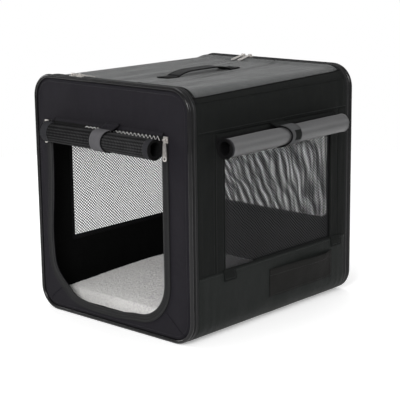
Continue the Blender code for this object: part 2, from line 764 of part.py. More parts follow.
def folding_bar(name, side, end_y, pivot_z, lift, crease_eye_x, parts):
    """Half of a folding bar, from a hoop pivot to the crease pivot.

    lift is +1 on the floor, where the bar lies above its pivots, and -1 on the roof."""
    direction = 1 if end_y > 0 else -1
    bar_z = pivot_z + lift * BAR_LIFT
    tube = rod_along_y(name, direction * BAR_END_INSET, direction * (abs(end_y) - BAR_END_INSET),
                       side * BAR_X, bar_z, BAR_RADIUS, parts)
    end_eye = eye(side * INNER_EYE_X, end_y, pivot_z, -direction, lift, parts)
    crease_eye = eye(side * crease_eye_x, 0.0, pivot_z, direction, lift, parts)
    tube = combine(tube, end_eye, "UNION", parts)
    tube = combine(tube, crease_eye, "UNION", parts)
    return tube


def add_button_boss(bar, side, parts):
    """A short bored boss on the inner side of a roof bar, which holds the release button."""
    name = bar.name
    bar_z = ROOF_PIVOT_Z - BAR_LIFT
    inner = side * (BAR_X - BAR_RADIUS + BOSS_INTO_BAR)
    mouth = inner - side * BOSS_LENGTH
    boss = rod_along_x("boss", inner, mouth, BUTTON_FROM_CREASE, bar_z, BOSS_RADIUS, parts)
    bar = combine(bar, boss, "UNION", parts)
    bore = rod_along_x("bore", mouth + side * BORE_DEPTH, mouth - side * BOSS_INTO_BAR,
                       BUTTON_FROM_CREASE, bar_z, BUTTON_RADIUS + TOUCH_GAP, parts)
    bar = combine(bar, bore, "DIFFERENCE", parts)
    bar.name = name
    return bar


def lock_button(side_name, parts):
    side = SIDES[side_name]
    mouth = side * (BAR_X - BAR_RADIUS + BOSS_INTO_BAR - BOSS_LENGTH)
    face = mouth - side * BUTTON_STANDS_PROUD
    item = rod_along_x("lock_button_" + side_name, face, face + side * BUTTON_LENGTH, BUTTON_FROM_CREASE,
                       ROOF_PIVOT_Z - BAR_LIFT, BUTTON_RADIUS, parts)
    finish(item, BUTTON_GREY, 0.5)
    return item


def floor_board(name, direction, parts):
    ys = sorted((direction * TOUCH_GAP / 2, direction * BOARD_END_Y))
    item = box(name, (-BOARD_HALF_WIDTH, ys[0], BOARD_BOTTOM_Z), (BOARD_HALF_WIDTH, ys[1], BOARD_TOP_Z),
               parts)
    finish(item, BOARD_GREY, 0.7)
    return item


def mat(parts):
    """Padded fleece mat: crowned on top, with its sides drawn in below a soft edge."""
    half_x = BOARD_HALF_WIDTH - MAT_SIDE_INSET
    half_y = BOARD_END_Y - TOUCH_GAP
    bottom = BOARD_TOP_Z + TOUCH_GAP
    shape = bmesh.new()
    across = [math.sin(math.pi / 2 * (2 * k / MAT_CELLS - 1)) for k in range(MAT_CELLS + 1)]
    layers = ((0.0, MAT_DRAWN_IN), (MAT_WIDEST_AT, 1.0), (MAT_EDGE_TOP, MAT_DRAWN_IN))
    rings = []
    for rise, spread in layers:
        ring = [(u, -1.0) for u in across] + [(1.0, v) for v in across[1:]]
        ring += [(u, 1.0) for u in across[-2::-1]] + [(-1.0, v) for v in across[-2:0:-1]]
        rings.append([shape.verts.new((half_x * spread * u, half_y * spread * v, bottom + rise))
                      for u, v in ring])
    count = len(rings[0])
    for lower, upper in zip(rings, rings[1:]):
        for k in range(count):
            shape.faces.new((lower[k], lower[(k + 1) % count], upper[(k + 1) % count], upper[k]))
    shape.faces.new(rings[0][::-1])
    lattice = []
    for j, v in enumerate(across):
        line = []
        for i, u in enumerate(across):
            x, y = half_x * MAT_DRAWN_IN * u, half_y * MAT_DRAWN_IN * v
            if i in (0, MAT_CELLS) or j in (0, MAT_CELLS):
                line.append(nearest(rings[-1], x, y))
                continue
            z = bottom + MAT_DOME_STARTS_AT + MAT_CROWN * (1 - u ** 4) * (1 - v ** 4)
            line.append(shape.verts.new((x, y, z)))
        lattice.append(line)
    for j in range(MAT_CELLS):
        for i in range(MAT_CELLS):
            shape.faces.new((lattice[j][i], lattice[j][i + 1], lattice[j + 1][i + 1], lattice[j + 1][i]))
    item = object_from_bmesh("mat", shape, parts)
    finish(item, FLEECE, 0.95)
    return item


def nearest(verts, x, y):
    return min(verts, key=lambda vert: (vert.co.x - x) ** 2 + (vert.co.y - y) ** 2)


def side_pocket(parts):
    """Open-topped slip pocket on the right wall."""
    inner = SKIN_HALF_WIDTH + TOUCH_GAP
    outer = inner + 2 * THIN_FABRIC + POCKET_SPACE
    body = box("side_pocket", (inner, POCKET_FRONT, POCKET_BOTTOM), (outer, POCKET_REAR, POCKET_TOP),
               parts)
    above = POCKET_TOP + FABRIC
    space = box("pocket_space", (inner + THIN_FABRIC, POCKET_FRONT + THIN_FABRIC,
                                 POCKET_BOTTOM + THIN_FABRIC),
                (outer - THIN_FABRIC, POCKET_REAR - THIN_FABRIC, above), parts)
    item = combine(body, space, "DIFFERENCE", parts)
    finish(item, BLACK_CLOTH, 0.9)
    return item


def handle(parts):
    """Webbing handle sewn down at both ends along the roof's middle line."""
    points = []
    arch_front = HANDLE_FRONT + HANDLE_SEWN_LENGTH
    arch_rear = HANDLE_REAR - HANDLE_SEWN_LENGTH
    lay = TOUCH_GAP + HANDLE_THICKNESS / 2
    for y in even_steps(HANDLE_FRONT, arch_front, 2)[:-1]:
        points.append((y, roof_height(0.0, y) + lay))
    for y in even_steps(arch_front, arch_rear, 16):
        share = (y - arch_front) / (arch_rear - arch_front)
        arch = HANDLE_LIFT * (1 - (2 * share - 1) ** 4)
        points.append((y, roof_height(0.0, y) + lay + arch))
    for y in even_steps(arch_rear, HANDLE_REAR, 2)[1:]:
        points.append((y, roof_height(0.0, y) + lay))
    item = plate_across_x("handle", [ribbon_outline(points, HANDLE_THICKNESS)], -HANDLE_WIDTH / 2,
                          HANDLE_WIDTH / 2, parts)
    finish(item, STRAP_CLOTH, 0.8)
    return item


def slider_mesh(parts):
    """A zip slider about its axle: body below, two ears and the axle between them."""
    body_top = -SLIDER_TOP_BELOW_AXLE
    body_bottom = -AXLE_ABOVE_TAPE + TOUCH_GAP
    body = box("slider", (-SLIDER_HALF_WIDTH, -SLIDER_HALF_LENGTH, body_bottom),
               (SLIDER_HALF_WIDTH, SLIDER_HALF_LENGTH, body_top), parts)
    for side in (-1, 1):
        xs = sorted((side * EAR_INNER, side * EAR_OUTER))
        ear = box("ear", (xs[0], -EAR_HALF_LENGTH, body_top - TOUCH_GAP),
                  (xs[1], EAR_HALF_LENGTH, AXLE_RADIUS + TOUCH_GAP * 2), parts)
        body = combine(body, ear, "UNION", parts)
    axle = rod_along_x("axle", -EAR_INNER - TOUCH_GAP, EAR_INNER + TOUCH_GAP, 0.0, 0.0, AXLE_RADIUS,
                       parts, sides=8)
    body = combine(body, axle, "UNION", parts)
    mesh = body.data
    bpy.data.objects.remove(body)
    return mesh


def pull_mesh(parts):
    """A zip pull about its eye, pointing along -Y, with a round hole near its end."""
    reach = EAR_INNER - TOUCH_GAP
    ring = plate_across_x("pull_eye", [disc_outline(0.0, 0.0, PULL_EYE_RADIUS, 12),
                                       disc_outline(0.0, 0.0, AXLE_RADIUS + TOUCH_GAP, 8)],
                          -reach, reach, parts)
    ring = to_mesh_object(ring, parts)
    root = -AXLE_RADIUS - TOUCH_GAP * 1.5
    shoulder = -SLIDER_HALF_LENGTH - PULL_SHOULDER_PAST_SLIDER
    outline = [(PULL_NECK_HALF_WIDTH, root), (-PULL_NECK_HALF_WIDTH, root),
               (-PULL_NECK_HALF_WIDTH, shoulder), (-PULL_SHOULDER_HALF_WIDTH, shoulder)]
    tip_centre = -PULL_LENGTH + PULL_END_HALF_WIDTH
    outline += arc((0.0, tip_centre), PULL_END_HALF_WIDTH, math.pi, 2 * math.pi, 8)
    outline += [(PULL_SHOULDER_HALF_WIDTH, shoulder), (PULL_NECK_HALF_WIDTH, shoulder)]
    hole = disc_outline(0.0, tip_centre, PULL_END_HALF_WIDTH * PULL_HOLE_SHARE, 10)
    blade = flat_curve("pull_blade", [outline, hole], PULL_THICKNESS, parts)
    blade = to_mesh_object(blade, parts)
    pull = combine(ring, blade, "UNION", parts)
    mesh = baked_mesh(pull)
    mesh.transform(pull.matrix_world)
    bpy.data.objects.remove(pull)
    return mesh


def place_from_frame(item, axle, turn):
    item.matrix_world = Matrix.Translation(axle) @ turn.to_4x4()


def zip_slider(name, slider_data, pull_data, axle, turn, tilt, carrier, parts):
    """One slider and its pull, each with an empty on its joint."""
    slide = joint_empty(name + "_slide", axle, carrier[0], carrier[1], parts)
    slider = link(name + "_slider", slider_data.copy(), parts)
    place_from_frame(slider, axle, turn)
    finish(slider, ZIP_METAL, 0.25, 1.0)
    parent_to(slider, slide, axle)
    swing = joint_empty(name + "_swing", axle, slide, axle, parts)
    pull = link(name + "_pull", pull_data.copy(), parts)
    place_from_frame(pull, axle, turn @ Matrix.Rotation(tilt, 3, "X"))
    finish(pull, ZIP_METAL, 0.25, 1.0)
    parent_to(pull, swing, axle)


def build_zip_sliders(front_end, parts):
    slider_data = slider_mesh(parts)
    pull_data = pull_mesh(parts)
    upright = Matrix.Rotation(math.pi / 2, 3, "X")
    flat = Matrix.Identity(3)
    turned = Matrix.Rotation(math.pi, 3, "Z")
    door_places = {"left": DOOR_LEFT - SLIDER_X_IN_DOOR_TAPE, "right": DOOR_RIGHT + SLIDER_X_IN_DOOR_TAPE}
    for side, x in door_places.items():
        axle = Vector((x, DOOR_TAPE_FRONT_Y - AXLE_ABOVE_TAPE, DOOR_SLIDER_Z))
        zip_slider("door_" + side, slider_data, pull_data, axle, upright, 0.0, front_end, parts)
    band_y = (ZIP_INNER_Y + ZIP_OUTER_Y) / 2
    axle_z = SKIN_TOP + AXLE_ABOVE_TAPE
    for side, sign in SIDES.items():
        front = Vector((FRONT_SLIDERS_X + sign * SLIDER_PAIR_SPACING / 2, -band_y, axle_z))
        zip_slider("front_" + side, slider_data, pull_data, front, turned, PULL_TILT, front_end, parts)
        rear = Vector((REAR_SLIDERS_X + sign * SLIDER_PAIR_SPACING / 2, band_y, axle_z))
        zip_slider("rear_" + side, slider_data, pull_data, rear, flat, PULL_TILT,
                   (None, Vector((0, 0, 0))), parts)


def build_rear_end(parts):
    """Everything that stays with the rear hoop, with the fabric that crumples in a fold."""
    hoop("rear", 1, parts)
    piping("rear", 1, parts)
    zip_band("rear", 1, parts)
    end_panel("rear", 1, [rear_window_outline()], BLACK_CLOTH, parts)
    rear_mesh(parts)
    rear_flap_roll(parts)
    rear_flap_strap(parts)
    roof_sheet("roof_edge_rear", (PIVOT_Y + TOUCH_GAP / 2, ROOF_HEM_Y, WALL_END_Y), parts)
    bottom_skin(parts)
    side_pocket(parts)
    for side in SIDES:
        side_wall(side, parts)
        side_mesh(side, parts)
        flap_roll(side, parts)
        flap_strap(side, parts)


def build_floor(parts):
    """The two floor halves, each with its boards and bars; the mat lies on both."""
    rear_place = Vector((0.0, PIVOT_Y, FLOOR_PIVOT_Z))
    rear = joint_empty("floor_rear_joint", rear_place, None, (0, 0, 0), parts)
    crease_place = Vector((0.0, 0.0, FLOOR_PIVOT_Z))
    front = joint_empty("floor_crease_joint", crease_place, rear, rear_place, parts)
    parent_to(floor_board("floor_board_rear", 1, parts), rear, rear_place)
    parent_to(floor_board("floor_board_front", -1, parts), front, crease_place)
    parent_to(mat(parts), rear, rear_place)
    for side, sign in SIDES.items():
        parent_to(crease_pin("floor_pin_" + side, sign, FLOOR_PIVOT_Z, parts), rear, rear_place)
        bar = folding_bar("floor_bar_rear_" + side, sign, PIVOT_Y, FLOOR_PIVOT_Z, 1, INNER_EYE_X, parts)
        finish(bar, STEEL_GREY, 0.35, 1.0)
        parent_to(bar, rear, rear_place)
        bar = folding_bar("floor_bar_front_" + side, sign, -PIVOT_Y, FLOOR_PIVOT_Z, 1, CREASE_EYE_X,
                          parts)
        finish(bar, STEEL_GREY, 0.35, 1.0)
        parent_to(bar, front, crease_place)


def build_roof(parts):
    """The two roof halves; returns the empty and place that carry the front end."""
    rear_place = Vector((0.0, PIVOT_Y, ROOF_PIVOT_Z))
    rear = joint_empty("roof_rear_joint", rear_place, None, (0, 0, 0), parts)
    crease_place = Vector((0.0, 0.0, ROOF_PIVOT_Z))
    front = joint_empty("roof_crease_joint", crease_place, rear, rear_place, parts)
    edge = PIVOT_Y - TOUCH_GAP / 2
    parent_to(roof_sheet("roof_panel_rear", even_steps(TOUCH_GAP / 2, edge, 4), parts), rear, rear_place)
    parent_to(roof_sheet("roof_panel_front", even_steps(-edge, -TOUCH_GAP / 2, 4), parts), front,
              crease_place)
    parent_to(handle(parts), rear, rear_place)
    for side, sign in SIDES.items():
        parent_to(crease_pin("roof_pin_" + side, sign, ROOF_PIVOT_Z, parts), rear, rear_place)
        bar = folding_bar("roof_bar_rear_" + side, sign, PIVOT_Y, ROOF_PIVOT_Z, -1, INNER_EYE_X, parts)
        bar = add_button_boss(bar, sign, parts)
        finish(bar, STEEL_GREY, 0.35, 1.0)
        parent_to(bar, rear, rear_place)
        parent_to(lock_button(side, parts), rear, rear_place)
        bar = folding_bar("roof_bar_front_" + side, sign, -PIVOT_Y, ROOF_PIVOT_Z, -1, CREASE_EYE_X,
                          parts)
        finish(bar, STEEL_GREY, 0.35, 1.0)
        parent_to(bar, front, crease_place)
    end_place = Vector((0.0, -PIVOT_Y, ROOF_PIVOT_Z))
    return joint_empty("front_end_joint", end_place, front, crease_place, parts), end_place


def build_front_end(carrier, place, parts):
    """The front hoop, the door opening and the rolled door."""
    pieces = [
        hoop("front", -1, parts),
        piping("front", -1, parts),
        zip_band("front", -1, parts),
        end_panel("front", -1, [door_outline(0.0)], FRONT_CLOTH, parts),
        roof_sheet("roof_edge_front", (-WALL_END_Y, -ROOF_HEM_Y, -PIVOT_Y - TOUCH_GAP / 2), parts),
        door_zip(parts),
        door_roll(parts),
        door_strap(parts),
    ]
    for piece in pieces:
        parent_to(piece, carrier, place)


def shade_round_pieces(parts):
    for item in parts.objects:
        if item.type == "MESH":
            item.data.shade_smooth()
            item.data.set_sharp_from_angle(angle=math.radians(35))


def main():
    clear_scene()
    parts = new_collection("folding_pet_crate")
    build_rear_end(parts)
    build_floor(parts)
    front_end = build_roof(parts)
    build_front_end(front_end[0], front_end[1], parts)
    build_zip_sliders(front_end, parts)
    shade_round_pieces(parts)


main()
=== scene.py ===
"""Folding pet crate, dressed: cloth, nets, rolls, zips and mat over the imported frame."""
import math

import bpy
from mathutils import Matrix, Vector, noise


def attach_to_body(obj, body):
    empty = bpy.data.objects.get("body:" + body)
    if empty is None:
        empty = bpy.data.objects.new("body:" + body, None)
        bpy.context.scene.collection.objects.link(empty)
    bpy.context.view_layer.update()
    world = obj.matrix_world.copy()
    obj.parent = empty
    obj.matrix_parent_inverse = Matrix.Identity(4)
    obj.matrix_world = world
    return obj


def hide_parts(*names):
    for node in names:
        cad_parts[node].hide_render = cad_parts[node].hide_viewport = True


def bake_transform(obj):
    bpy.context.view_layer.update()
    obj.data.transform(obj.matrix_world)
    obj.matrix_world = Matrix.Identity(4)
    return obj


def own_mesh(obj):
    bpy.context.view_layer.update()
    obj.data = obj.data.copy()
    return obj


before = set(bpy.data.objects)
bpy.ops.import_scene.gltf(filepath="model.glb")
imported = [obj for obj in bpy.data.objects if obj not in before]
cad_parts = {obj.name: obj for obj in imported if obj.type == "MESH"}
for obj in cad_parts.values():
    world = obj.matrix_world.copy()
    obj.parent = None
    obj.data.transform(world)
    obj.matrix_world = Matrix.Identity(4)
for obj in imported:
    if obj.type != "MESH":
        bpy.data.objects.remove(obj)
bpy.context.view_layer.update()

# Sizes in metres, as in the CAD source; a few at the rolls, straps and handle follow the photo instead
HALF_WIDTH, HALF_LENGTH, HEIGHT = 0.180, 0.210, 0.410
CORNER_RADIUS = 0.040
TOUCH_GAP = 0.0003
FABRIC, THIN_FABRIC = 0.002, 0.0012
PIPING_RADIUS, PIPING_STANDS_PROUD = 0.0035, 0.0015
PIPING_Y = HALF_LENGTH - PIPING_RADIUS
SKIN_HALF_WIDTH, SKIN_TOP = HALF_WIDTH - PIPING_STANDS_PROUD, HEIGHT - PIPING_STANDS_PROUD
SKIN_RADIUS = CORNER_RADIUS - PIPING_STANDS_PROUD
CORNER_X, CORNER_Z = SKIN_HALF_WIDTH - SKIN_RADIUS, SKIN_TOP - SKIN_RADIUS
PANEL_INSET = 2 * PIPING_RADIUS + TOUCH_GAP
PANEL_FRONT_Y = HALF_LENGTH - FABRIC
ZIP_BAND_WIDTH = 0.010
ZIP_OUTER_Y = HALF_LENGTH - PANEL_INSET
ZIP_MIDDLE_Y = ZIP_OUTER_Y - ZIP_BAND_WIDTH / 2
WALL_END_Y = ZIP_OUTER_Y - ZIP_BAND_WIDTH - TOUCH_GAP
PIVOT_Y = HALF_LENGTH - 0.042
ROOF_DIP, ROOF_HEM_Y = 0.004, WALL_END_Y - 0.004
ROOF_SAG, ROOF_SAG_HALF_WIDTH = 0.005, 0.125
ROOF_SEAM_ANGLE = math.radians(25)
WINDOW_FRONT, WINDOW_REAR = -0.130, 0.148
WINDOW_BOTTOM, WINDOW_TOP = 0.112, HEIGHT - 0.090
NET_HEM = 0.008
REAR_WINDOW_HALF_WIDTH, REAR_WINDOW_BOTTOM, REAR_WINDOW_RADIUS = 0.128, 0.127, 0.015
NET_X = SKIN_HALF_WIDTH - FABRIC - TOUCH_GAP - 0.0005
REAR_NET_Y = PANEL_FRONT_Y - FABRIC - TOUCH_GAP - 0.0005
ROLL_WALL_GAP = 0.0024
ROLL_TURNS, ROLL_LAYER_PITCH = 2.6, 0.0021
ROLL_TAIL, ROLL_TAIL_BEND = 0.020, 0.0155
FLAP_ROLL_RADIUS, FLAP_ROLL_HEIGHT = 0.0165, WINDOW_TOP - 0.007
FLAP_ROLL_FRONT, FLAP_ROLL_REAR = -0.150, 0.155
FLAP_STRAP_FRONT, FLAP_STRAP_REAR = -0.0205, 0.0165
REAR_ROLL_HALF_WIDTH, REAR_STRAP_HALF_WIDTH = 0.144, 0.019
DOOR_ROLL_RADIUS, DOOR_ROLL_HEIGHT = 0.018, HEIGHT - 0.092
DOOR_ROLL_LEFT, DOOR_ROLL_RIGHT = -0.127, 0.124
DOOR_STRAP_LEFT, DOOR_STRAP_RIGHT = -0.006, 0.0265
STRAP_SEWN_LENGTH = 0.003
DOOR_LEFT, DOOR_RIGHT = -0.137, 0.120
DOOR_BOTTOM, DOOR_TOP = 0.033, HEIGHT - 0.077
DOOR_LOWER_RADIUS, DOOR_UPPER_RADIUS = 0.060, 0.008
DOOR_TAPE_WIDTH = 0.013
POCKET_FRONT, POCKET_REAR = -0.020, 0.150
POCKET_BOTTOM, POCKET_TOP = 0.041, 0.088
HANDLE_HALF_WIDTH, HANDLE_THICKNESS = 0.0125, 0.0016
HANDLE_FRONT, HANDLE_REAR = -0.080, 0.101
HANDLE_SEWN_LENGTH, HANDLE_LIFT = 0.024, 0.0085
MAT_BOTTOM, MAT_THICKNESS = 0.0224, 0.021
MAT_HALF_X, MAT_HALF_Y = 0.160, 0.1617

# What the scene adds
NET_STEP_ALONG, NET_STEP_UP, NET_RIDGE = 0.0030, 0.00265, 0.00025
NET_HOLE_SHARES = {"left": 0.60, "right": 0.56, "rear": 0.53}
ZIP_TEETH_PITCH = 0.0017
STITCH_PITCH, STITCH_LENGTH, STITCH_WIDTH = 0.0042, 0.0030, 0.0005
WELT_RADIUS, FINE_WELT_RADIUS = 0.0010, 0.0008
ROLL_BINDING_RADIUS, BOW_BINDING_RADIUS, STRAP_BINDING_RADIUS = 0.0012, 0.0013, 0.0007
CLOTH_THICKNESS, WALL_THICKNESS = 0.0016, 0.0017
WEAVE_PITCH = 0.0007
RING_SPOKES = 540
PIPING_SIDES, PIPING_SPACING, ZIP_SPACING, DOOR_TAPE_SPACING = 14, 0.004, 0.0045, 0.004
SKIN_GRID, SEAM_GRID = 0.0042, 0.004
ROOF_PART_Y, ROOF_RIM_Y = 0.090, WALL_END_Y - 0.0058
ROOF_SPACING = 0.0045
ROOF_FLAT_SPANS, ROOF_SEAM_STOP = 62, 0.036
ROOF_SEAM_REAR_X, ROOF_SEAM_BEND_Y, ROOF_SEAM_SLANT = 0.0265, 0.105, 0.092
CORNER_SEAM_DEGREES, CORNER_SEAM_DEGREES_A_METRE = 44.5, 39.5
CORNER_STEPS, CORNER_SPANS = 4, 10
ROLL_RIB_PITCH = 0.0034
ROLL_SPACING = 0.005
ROLL_STEPS_A_TURN = 26
SQUEEZE_DEPTH, SQUEEZE_WIDTH = 0.07, 0.026
FLAP_EDGE_WIDTH = 0.008
FLAP_ROLL_RISE = 0.0028
FLAP_STRAP_BOWS, DOOR_STRAP_BOWS = (0.0175, 0.0045), (0.0010, -0.0060)
HOOK_PATCH_ROWS = (13, 20)
STRAP_SEWN_ROWS, STRAP_SPANS, STRAP_TURN_ROWS = 4, 8, 28
STRAP_START, STRAP_END = math.radians(104), math.radians(-125)
# The right hem is widened past its tape to paint a highlight near the door roll's right end
DOOR_HEM_LEFT, DOOR_HEM_AND_HIGHLIGHT_RIGHT = 0.017, 0.012
DOOR_ROLL_DROP, DOOR_ROLL_SHRINK = 0.0036, 0.05
# A pale zigzag above the rolled door: painted light shining through the netting there
PAINTED_LIGHT_ZIGZAG_LEFT, PAINTED_LIGHT_ZIGZAG_RIGHT, PAINTED_LIGHT_ZIGZAG_HEIGHT = -0.050, 0.118, 0.3308
PAINTED_LIGHT_ZIGZAG_RADIUS, PAINTED_LIGHT_ZIGZAG_PITCH, PAINTED_LIGHT_ZIGZAG_GAP = 0.00055, 0.0042, 0.0040
MITRE_WELTS = (((-0.131, 0.043), (-0.160, 0.016)), ((0.121, 0.047), (0.162, 0.015)))
PANEL_STITCH_INSET = 0.005
TAPE_STITCH_PLACES = (0.0052, 0.0098)
DOOR_RING_CENTRE, REAR_RING_CENTRE = (-0.0085, 0.185), (0.0, 0.22)
HOOK_PATCHES = ((-0.134, -0.107, 0.094, 0.1115), (0.150, 0.176, 0.0945, 0.1115))
POCKET_THICKNESS, BOTTOM_THICKNESS, BOTTOM_GRID = 0.0011, 0.0014, 0.008
HANDLE_COVER_LENGTH = 0.028
HEM_FRONT_Y, HEM_REAR_Y = -0.152, 0.170
UPPER_SEAM_Z, LOWER_SEAM_Z = 0.336, 0.1095
MAT_END_SLOPE, MAT_LIP_BOTTOM = 0.0085, 0.0100
MAT_REACH = ((0.0184, 0.1750), (0.0300, 0.1720), (0.0340, 0.1645), (0.0434, 0.1617))
MAT_GROWTH, MAT_MOVE_LIMIT, MAT_VOXEL = 0.0035, 0.006, 0.005
MAT_PRESSURE, MAT_MASS, MAT_FRAMES = 4.0, 0.3, 20
FLOOR_RADIUS, FLOOR_GLOW = 1.5, 0.34

WALL_LOW = SKIN_RADIUS - SKIN_RADIUS * math.pi / 2 + 0.0008
WALL_HIGH = CORNER_Z + SKIN_RADIUS * ROOF_SEAM_ANGLE - 0.0008
SIDES = {"left": -1, "right": 1}
X_AXIS, Y_AXIS, Z_AXIS = Vector((1, 0, 0)), Vector((0, 1, 0)), Vector((0, 0, 1))
CRATE_MIDDLE = (0, 0, HEIGHT / 2)


def place_camera():
    """The photograph's viewpoint: from the front right, a little above."""
    azimuth, elevation, roll = math.radians(42.4747), math.radians(12.6038), math.radians(-0.7204)
    distance, focal_in_pixels, frame_pixels, sensor = 2.1938, 1254.1, 400, 36.0
    target = Vector((0.007, 0, 0.1793))
    camera = bpy.data.objects.new("camera", bpy.data.cameras.new("camera"))
    camera.data.sensor_width = sensor
    camera.data.lens = focal_in_pixels * sensor / frame_pixels
    camera.data.clip_end = 50
    turn = (Matrix.Rotation(azimuth, 4, "Z") @ Matrix.Rotation(math.pi / 2 - elevation, 4, "X")
            @ Matrix.Rotation(roll, 4, "Z"))
    camera.matrix_world = Matrix.Translation(target) @ turn @ Matrix.Translation((0, 0, distance))
    bpy.context.scene.collection.objects.link(camera)
    bpy.context.scene.camera = camera


# Materials

class Nodes:
    """A node tree that is filled a node at a time."""

    def __init__(self, tree):
        self.tree = tree

    def fill(self, node, inputs):
        """Set a node's inputs, by name or number, to values or to the sockets that drive them."""
        for name, value in inputs.items():
            if isinstance(value, bpy.types.NodeSocket):
                self.tree.links.new(value, node.inputs[name])
            else:
                node.inputs[name].default_value = value

    def add(self, kind, inputs=None, **settings):
        node = self.tree.nodes.new("ShaderNode" + kind)
        for name, value in settings.items():
            setattr(node, name, value)
        self.fill(node, inputs or {})
        return node

    def math(self, operation, first, second, clamp=False):
        return self.add("Math", {0: first, 1: second}, operation=operation, use_clamp=clamp).outputs["Value"]

    def mix(self, *parts):
        """The sum of (value, weight) pairs."""
        total = 0.0
        for value, weight in parts:
            total = self.math("ADD", total, self.math("MULTIPLY", value, weight))
        return total

    def spread(self, value, low, high):
        """Map 0..1 to low..high."""
        return self.add("MapRange", {"Value": value, "To Min": low, "To Max": high}).outputs["Result"]


class Shading(Nodes):
    """A Principled material."""

    def __init__(self, name, roughness=0.8, metallic=0.0, specular=0.5):
        self.material = bpy.data.materials.new(name)
        self.material.use_nodes = True
        super().__init__(self.material.node_tree)
        self.shader = self.tree.nodes["Principled BSDF"]
        self.shade({"Roughness": roughness, "Metallic": metallic, "Specular IOR Level": specular})
        self.place = self.add("TexCoord").outputs["Object"]

    def shade(self, inputs):
        self.fill(self.shader, inputs)

    def noise(self, size, detail=2.0, stretch=(1, 1, 1), roughness=0.5):
        place = self.add("Mapping", {"Vector": self.place, "Scale": stretch}).outputs["Vector"]
        return self.add("TexNoise", {"Vector": place, "Scale": 1 / size, "Detail": detail,
                                     "Roughness": roughness}).outputs["Fac"]

    def threads(self, axis, pitch):
        """A rounded ridge at each thread along one axis."""
        return self.add("TexWave", {"Vector": self.place, "Scale": math.pi / 10 / pitch, "Distortion": 0.0},
                        wave_type="BANDS", bands_direction=axis).outputs["Fac"]

    def colours(self, value, *stops):
        """A ramp of (place, colour) stops from a 0..1 value to the shader's colour."""
        ramp = self.add("ValToRGB", {"Fac": value})
        elements = ramp.color_ramp.elements
        while len(elements) < len(stops):
            elements.new(0.5)
        for element, (place, colour) in zip(elements, stops):
            element.position = place
            element.color = (*colour, 1.0)
        self.shade({"Base Color": ramp.outputs["Color"]})

    def tones(self, value, colour, *stops):
        """A ramp of (place, factor) stops, each the colour times its factor."""
        self.colours(value, *((place, shaded(colour, factor)) for place, factor in stops))

    def roughness(self, value, low, high):
        self.shade({"Roughness": self.spread(value, low, high)})

    def bump(self, *layers):
        """Height layers as (value, distance), each on top of the last."""
        below = {}
        for height, distance in layers:
            node = self.add("Bump", {"Height": height, "Distance": distance, **below})
            below = {"Normal": node.outputs["Normal"]}
        self.shade(below)

    def sheen(self, weight, roughness=0.4):
        self.shade({"Sheen Weight": weight, "Sheen Roughness": roughness, "Sheen Tint": (1, 1, 1, 1)})


def shaded(colour, factor):
    return tuple(channel * factor for channel in colour)


def woven(name, colour, axes, roughness=0.7, sheen=0.015, specular=0.08):
    """Plain-woven cloth whose threads run along the two named axes."""
    look = Shading(name, specular=specular)
    weave = look.math("MULTIPLY", look.threads(axes[0], WEAVE_PITCH), look.threads(axes[1], WEAVE_PITCH))
    patches = look.noise(0.045, 3.0)
    tone = look.mix((patches, 0.55), (look.noise(0.0035), 0.30), (weave, 0.15))
    look.tones(tone, colour, (0.25, 0.82), (0.5, 1.0), (0.8, 1.288))
    look.roughness(patches, roughness - 0.07, roughness + 0.09)
    look.bump((look.noise(0.012, 3.0), 0.0009), (weave, 0.00022))
    look.sheen(sheen)
    return look.material


def webbing(name, colour, across, along):
    """Woven webbing with ribs along its length and fine threads across."""
    look = Shading(name, specular=0.2)
    height = look.mix((look.threads(across, 0.0021), 0.7), (look.threads(along, 0.0008), 0.3))
    wear = look.noise(0.02, 4.0)
    look.tones(look.mix((wear, 0.6), (height, 0.4)), colour, (0.2, 0.72), (0.5, 1.0), (0.85, 1.3))
    look.roughness(wear, 0.57, 0.75)
    look.bump((height, 0.0004))
    look.sheen(0.03)
    return look.material


def surface(name, colour, layers, stops, rough, sheen=0.0, specular=0.5, metallic=0.0):
    """A finish whose tone and bumps come from layers of noise; the first drives the roughness too.

    A layer is (weight in the tone, height of its bumps, size, detail, and how it is stretched)."""
    look = Shading(name, metallic=metallic, specular=specular)
    values = [look.noise(*layer[2:]) for layer in layers]
    look.tones(look.mix(*((value, layer[0]) for value, layer in zip(values, layers) if layer[0])),
               colour, *stops)
    look.roughness(values[0], *rough)
    look.bump(*((value, layer[1]) for value, layer in zip(values, layers) if layer[1]))
    look.sheen(sheen)
    return look.material


def coated_lining(name, colour):
    """Smooth polymer-coated lining with faint creases and a soft gloss."""
    return surface(name, colour, ((0.7, 0.0011, 0.03, 4.0, (1, 0.35, 1)), (0.3, 0.00015, 0.0022)),
                   ((0.3, 0.84), (0.5, 1.0), (0.75, 1.15)), (0.38, 0.55), sheen=0.15)


def thread(name, colour):
    return surface(name, colour, ((1.0, 0.0001, 0.0006),), ((0.3, 0.7), (0.7, 1.25)), (0.55, 0.55),
                   sheen=0.3)


def netting(name, colour):
    return surface(name, colour, ((0.4, 0.0001, 0.0009), (0.6, 0, 0.05, 3.0)),
                   ((0.3, 0.75), (0.5, 1.0), (0.8, 1.4)), (0.42, 0.62), sheen=0.04, specular=0.15)


def bound_piping(name, colour):
    """Piping cord in a tight bias binding, dark with a narrow gloss line."""
    return surface(name, colour, ((0.7, 0.0004, 0.03, 4.0), (0.3, 0.00012, 0.0012, 2.0, (1, 2.5, 1))),
                   ((0.3, 0.8), (0.55, 1.0), (0.8, 1.6)), (0.16, 0.30), sheen=0.01, specular=0.28)


def powder_coat(name, colour):
    return surface(name, colour, ((1.0, 0, 0.04, 4.0), (0, 0.0002, 0.0016)),
                   ((0.35, 0.8), (0.6, 1.0), (0.8, 1.35)), (0.4, 0.58))


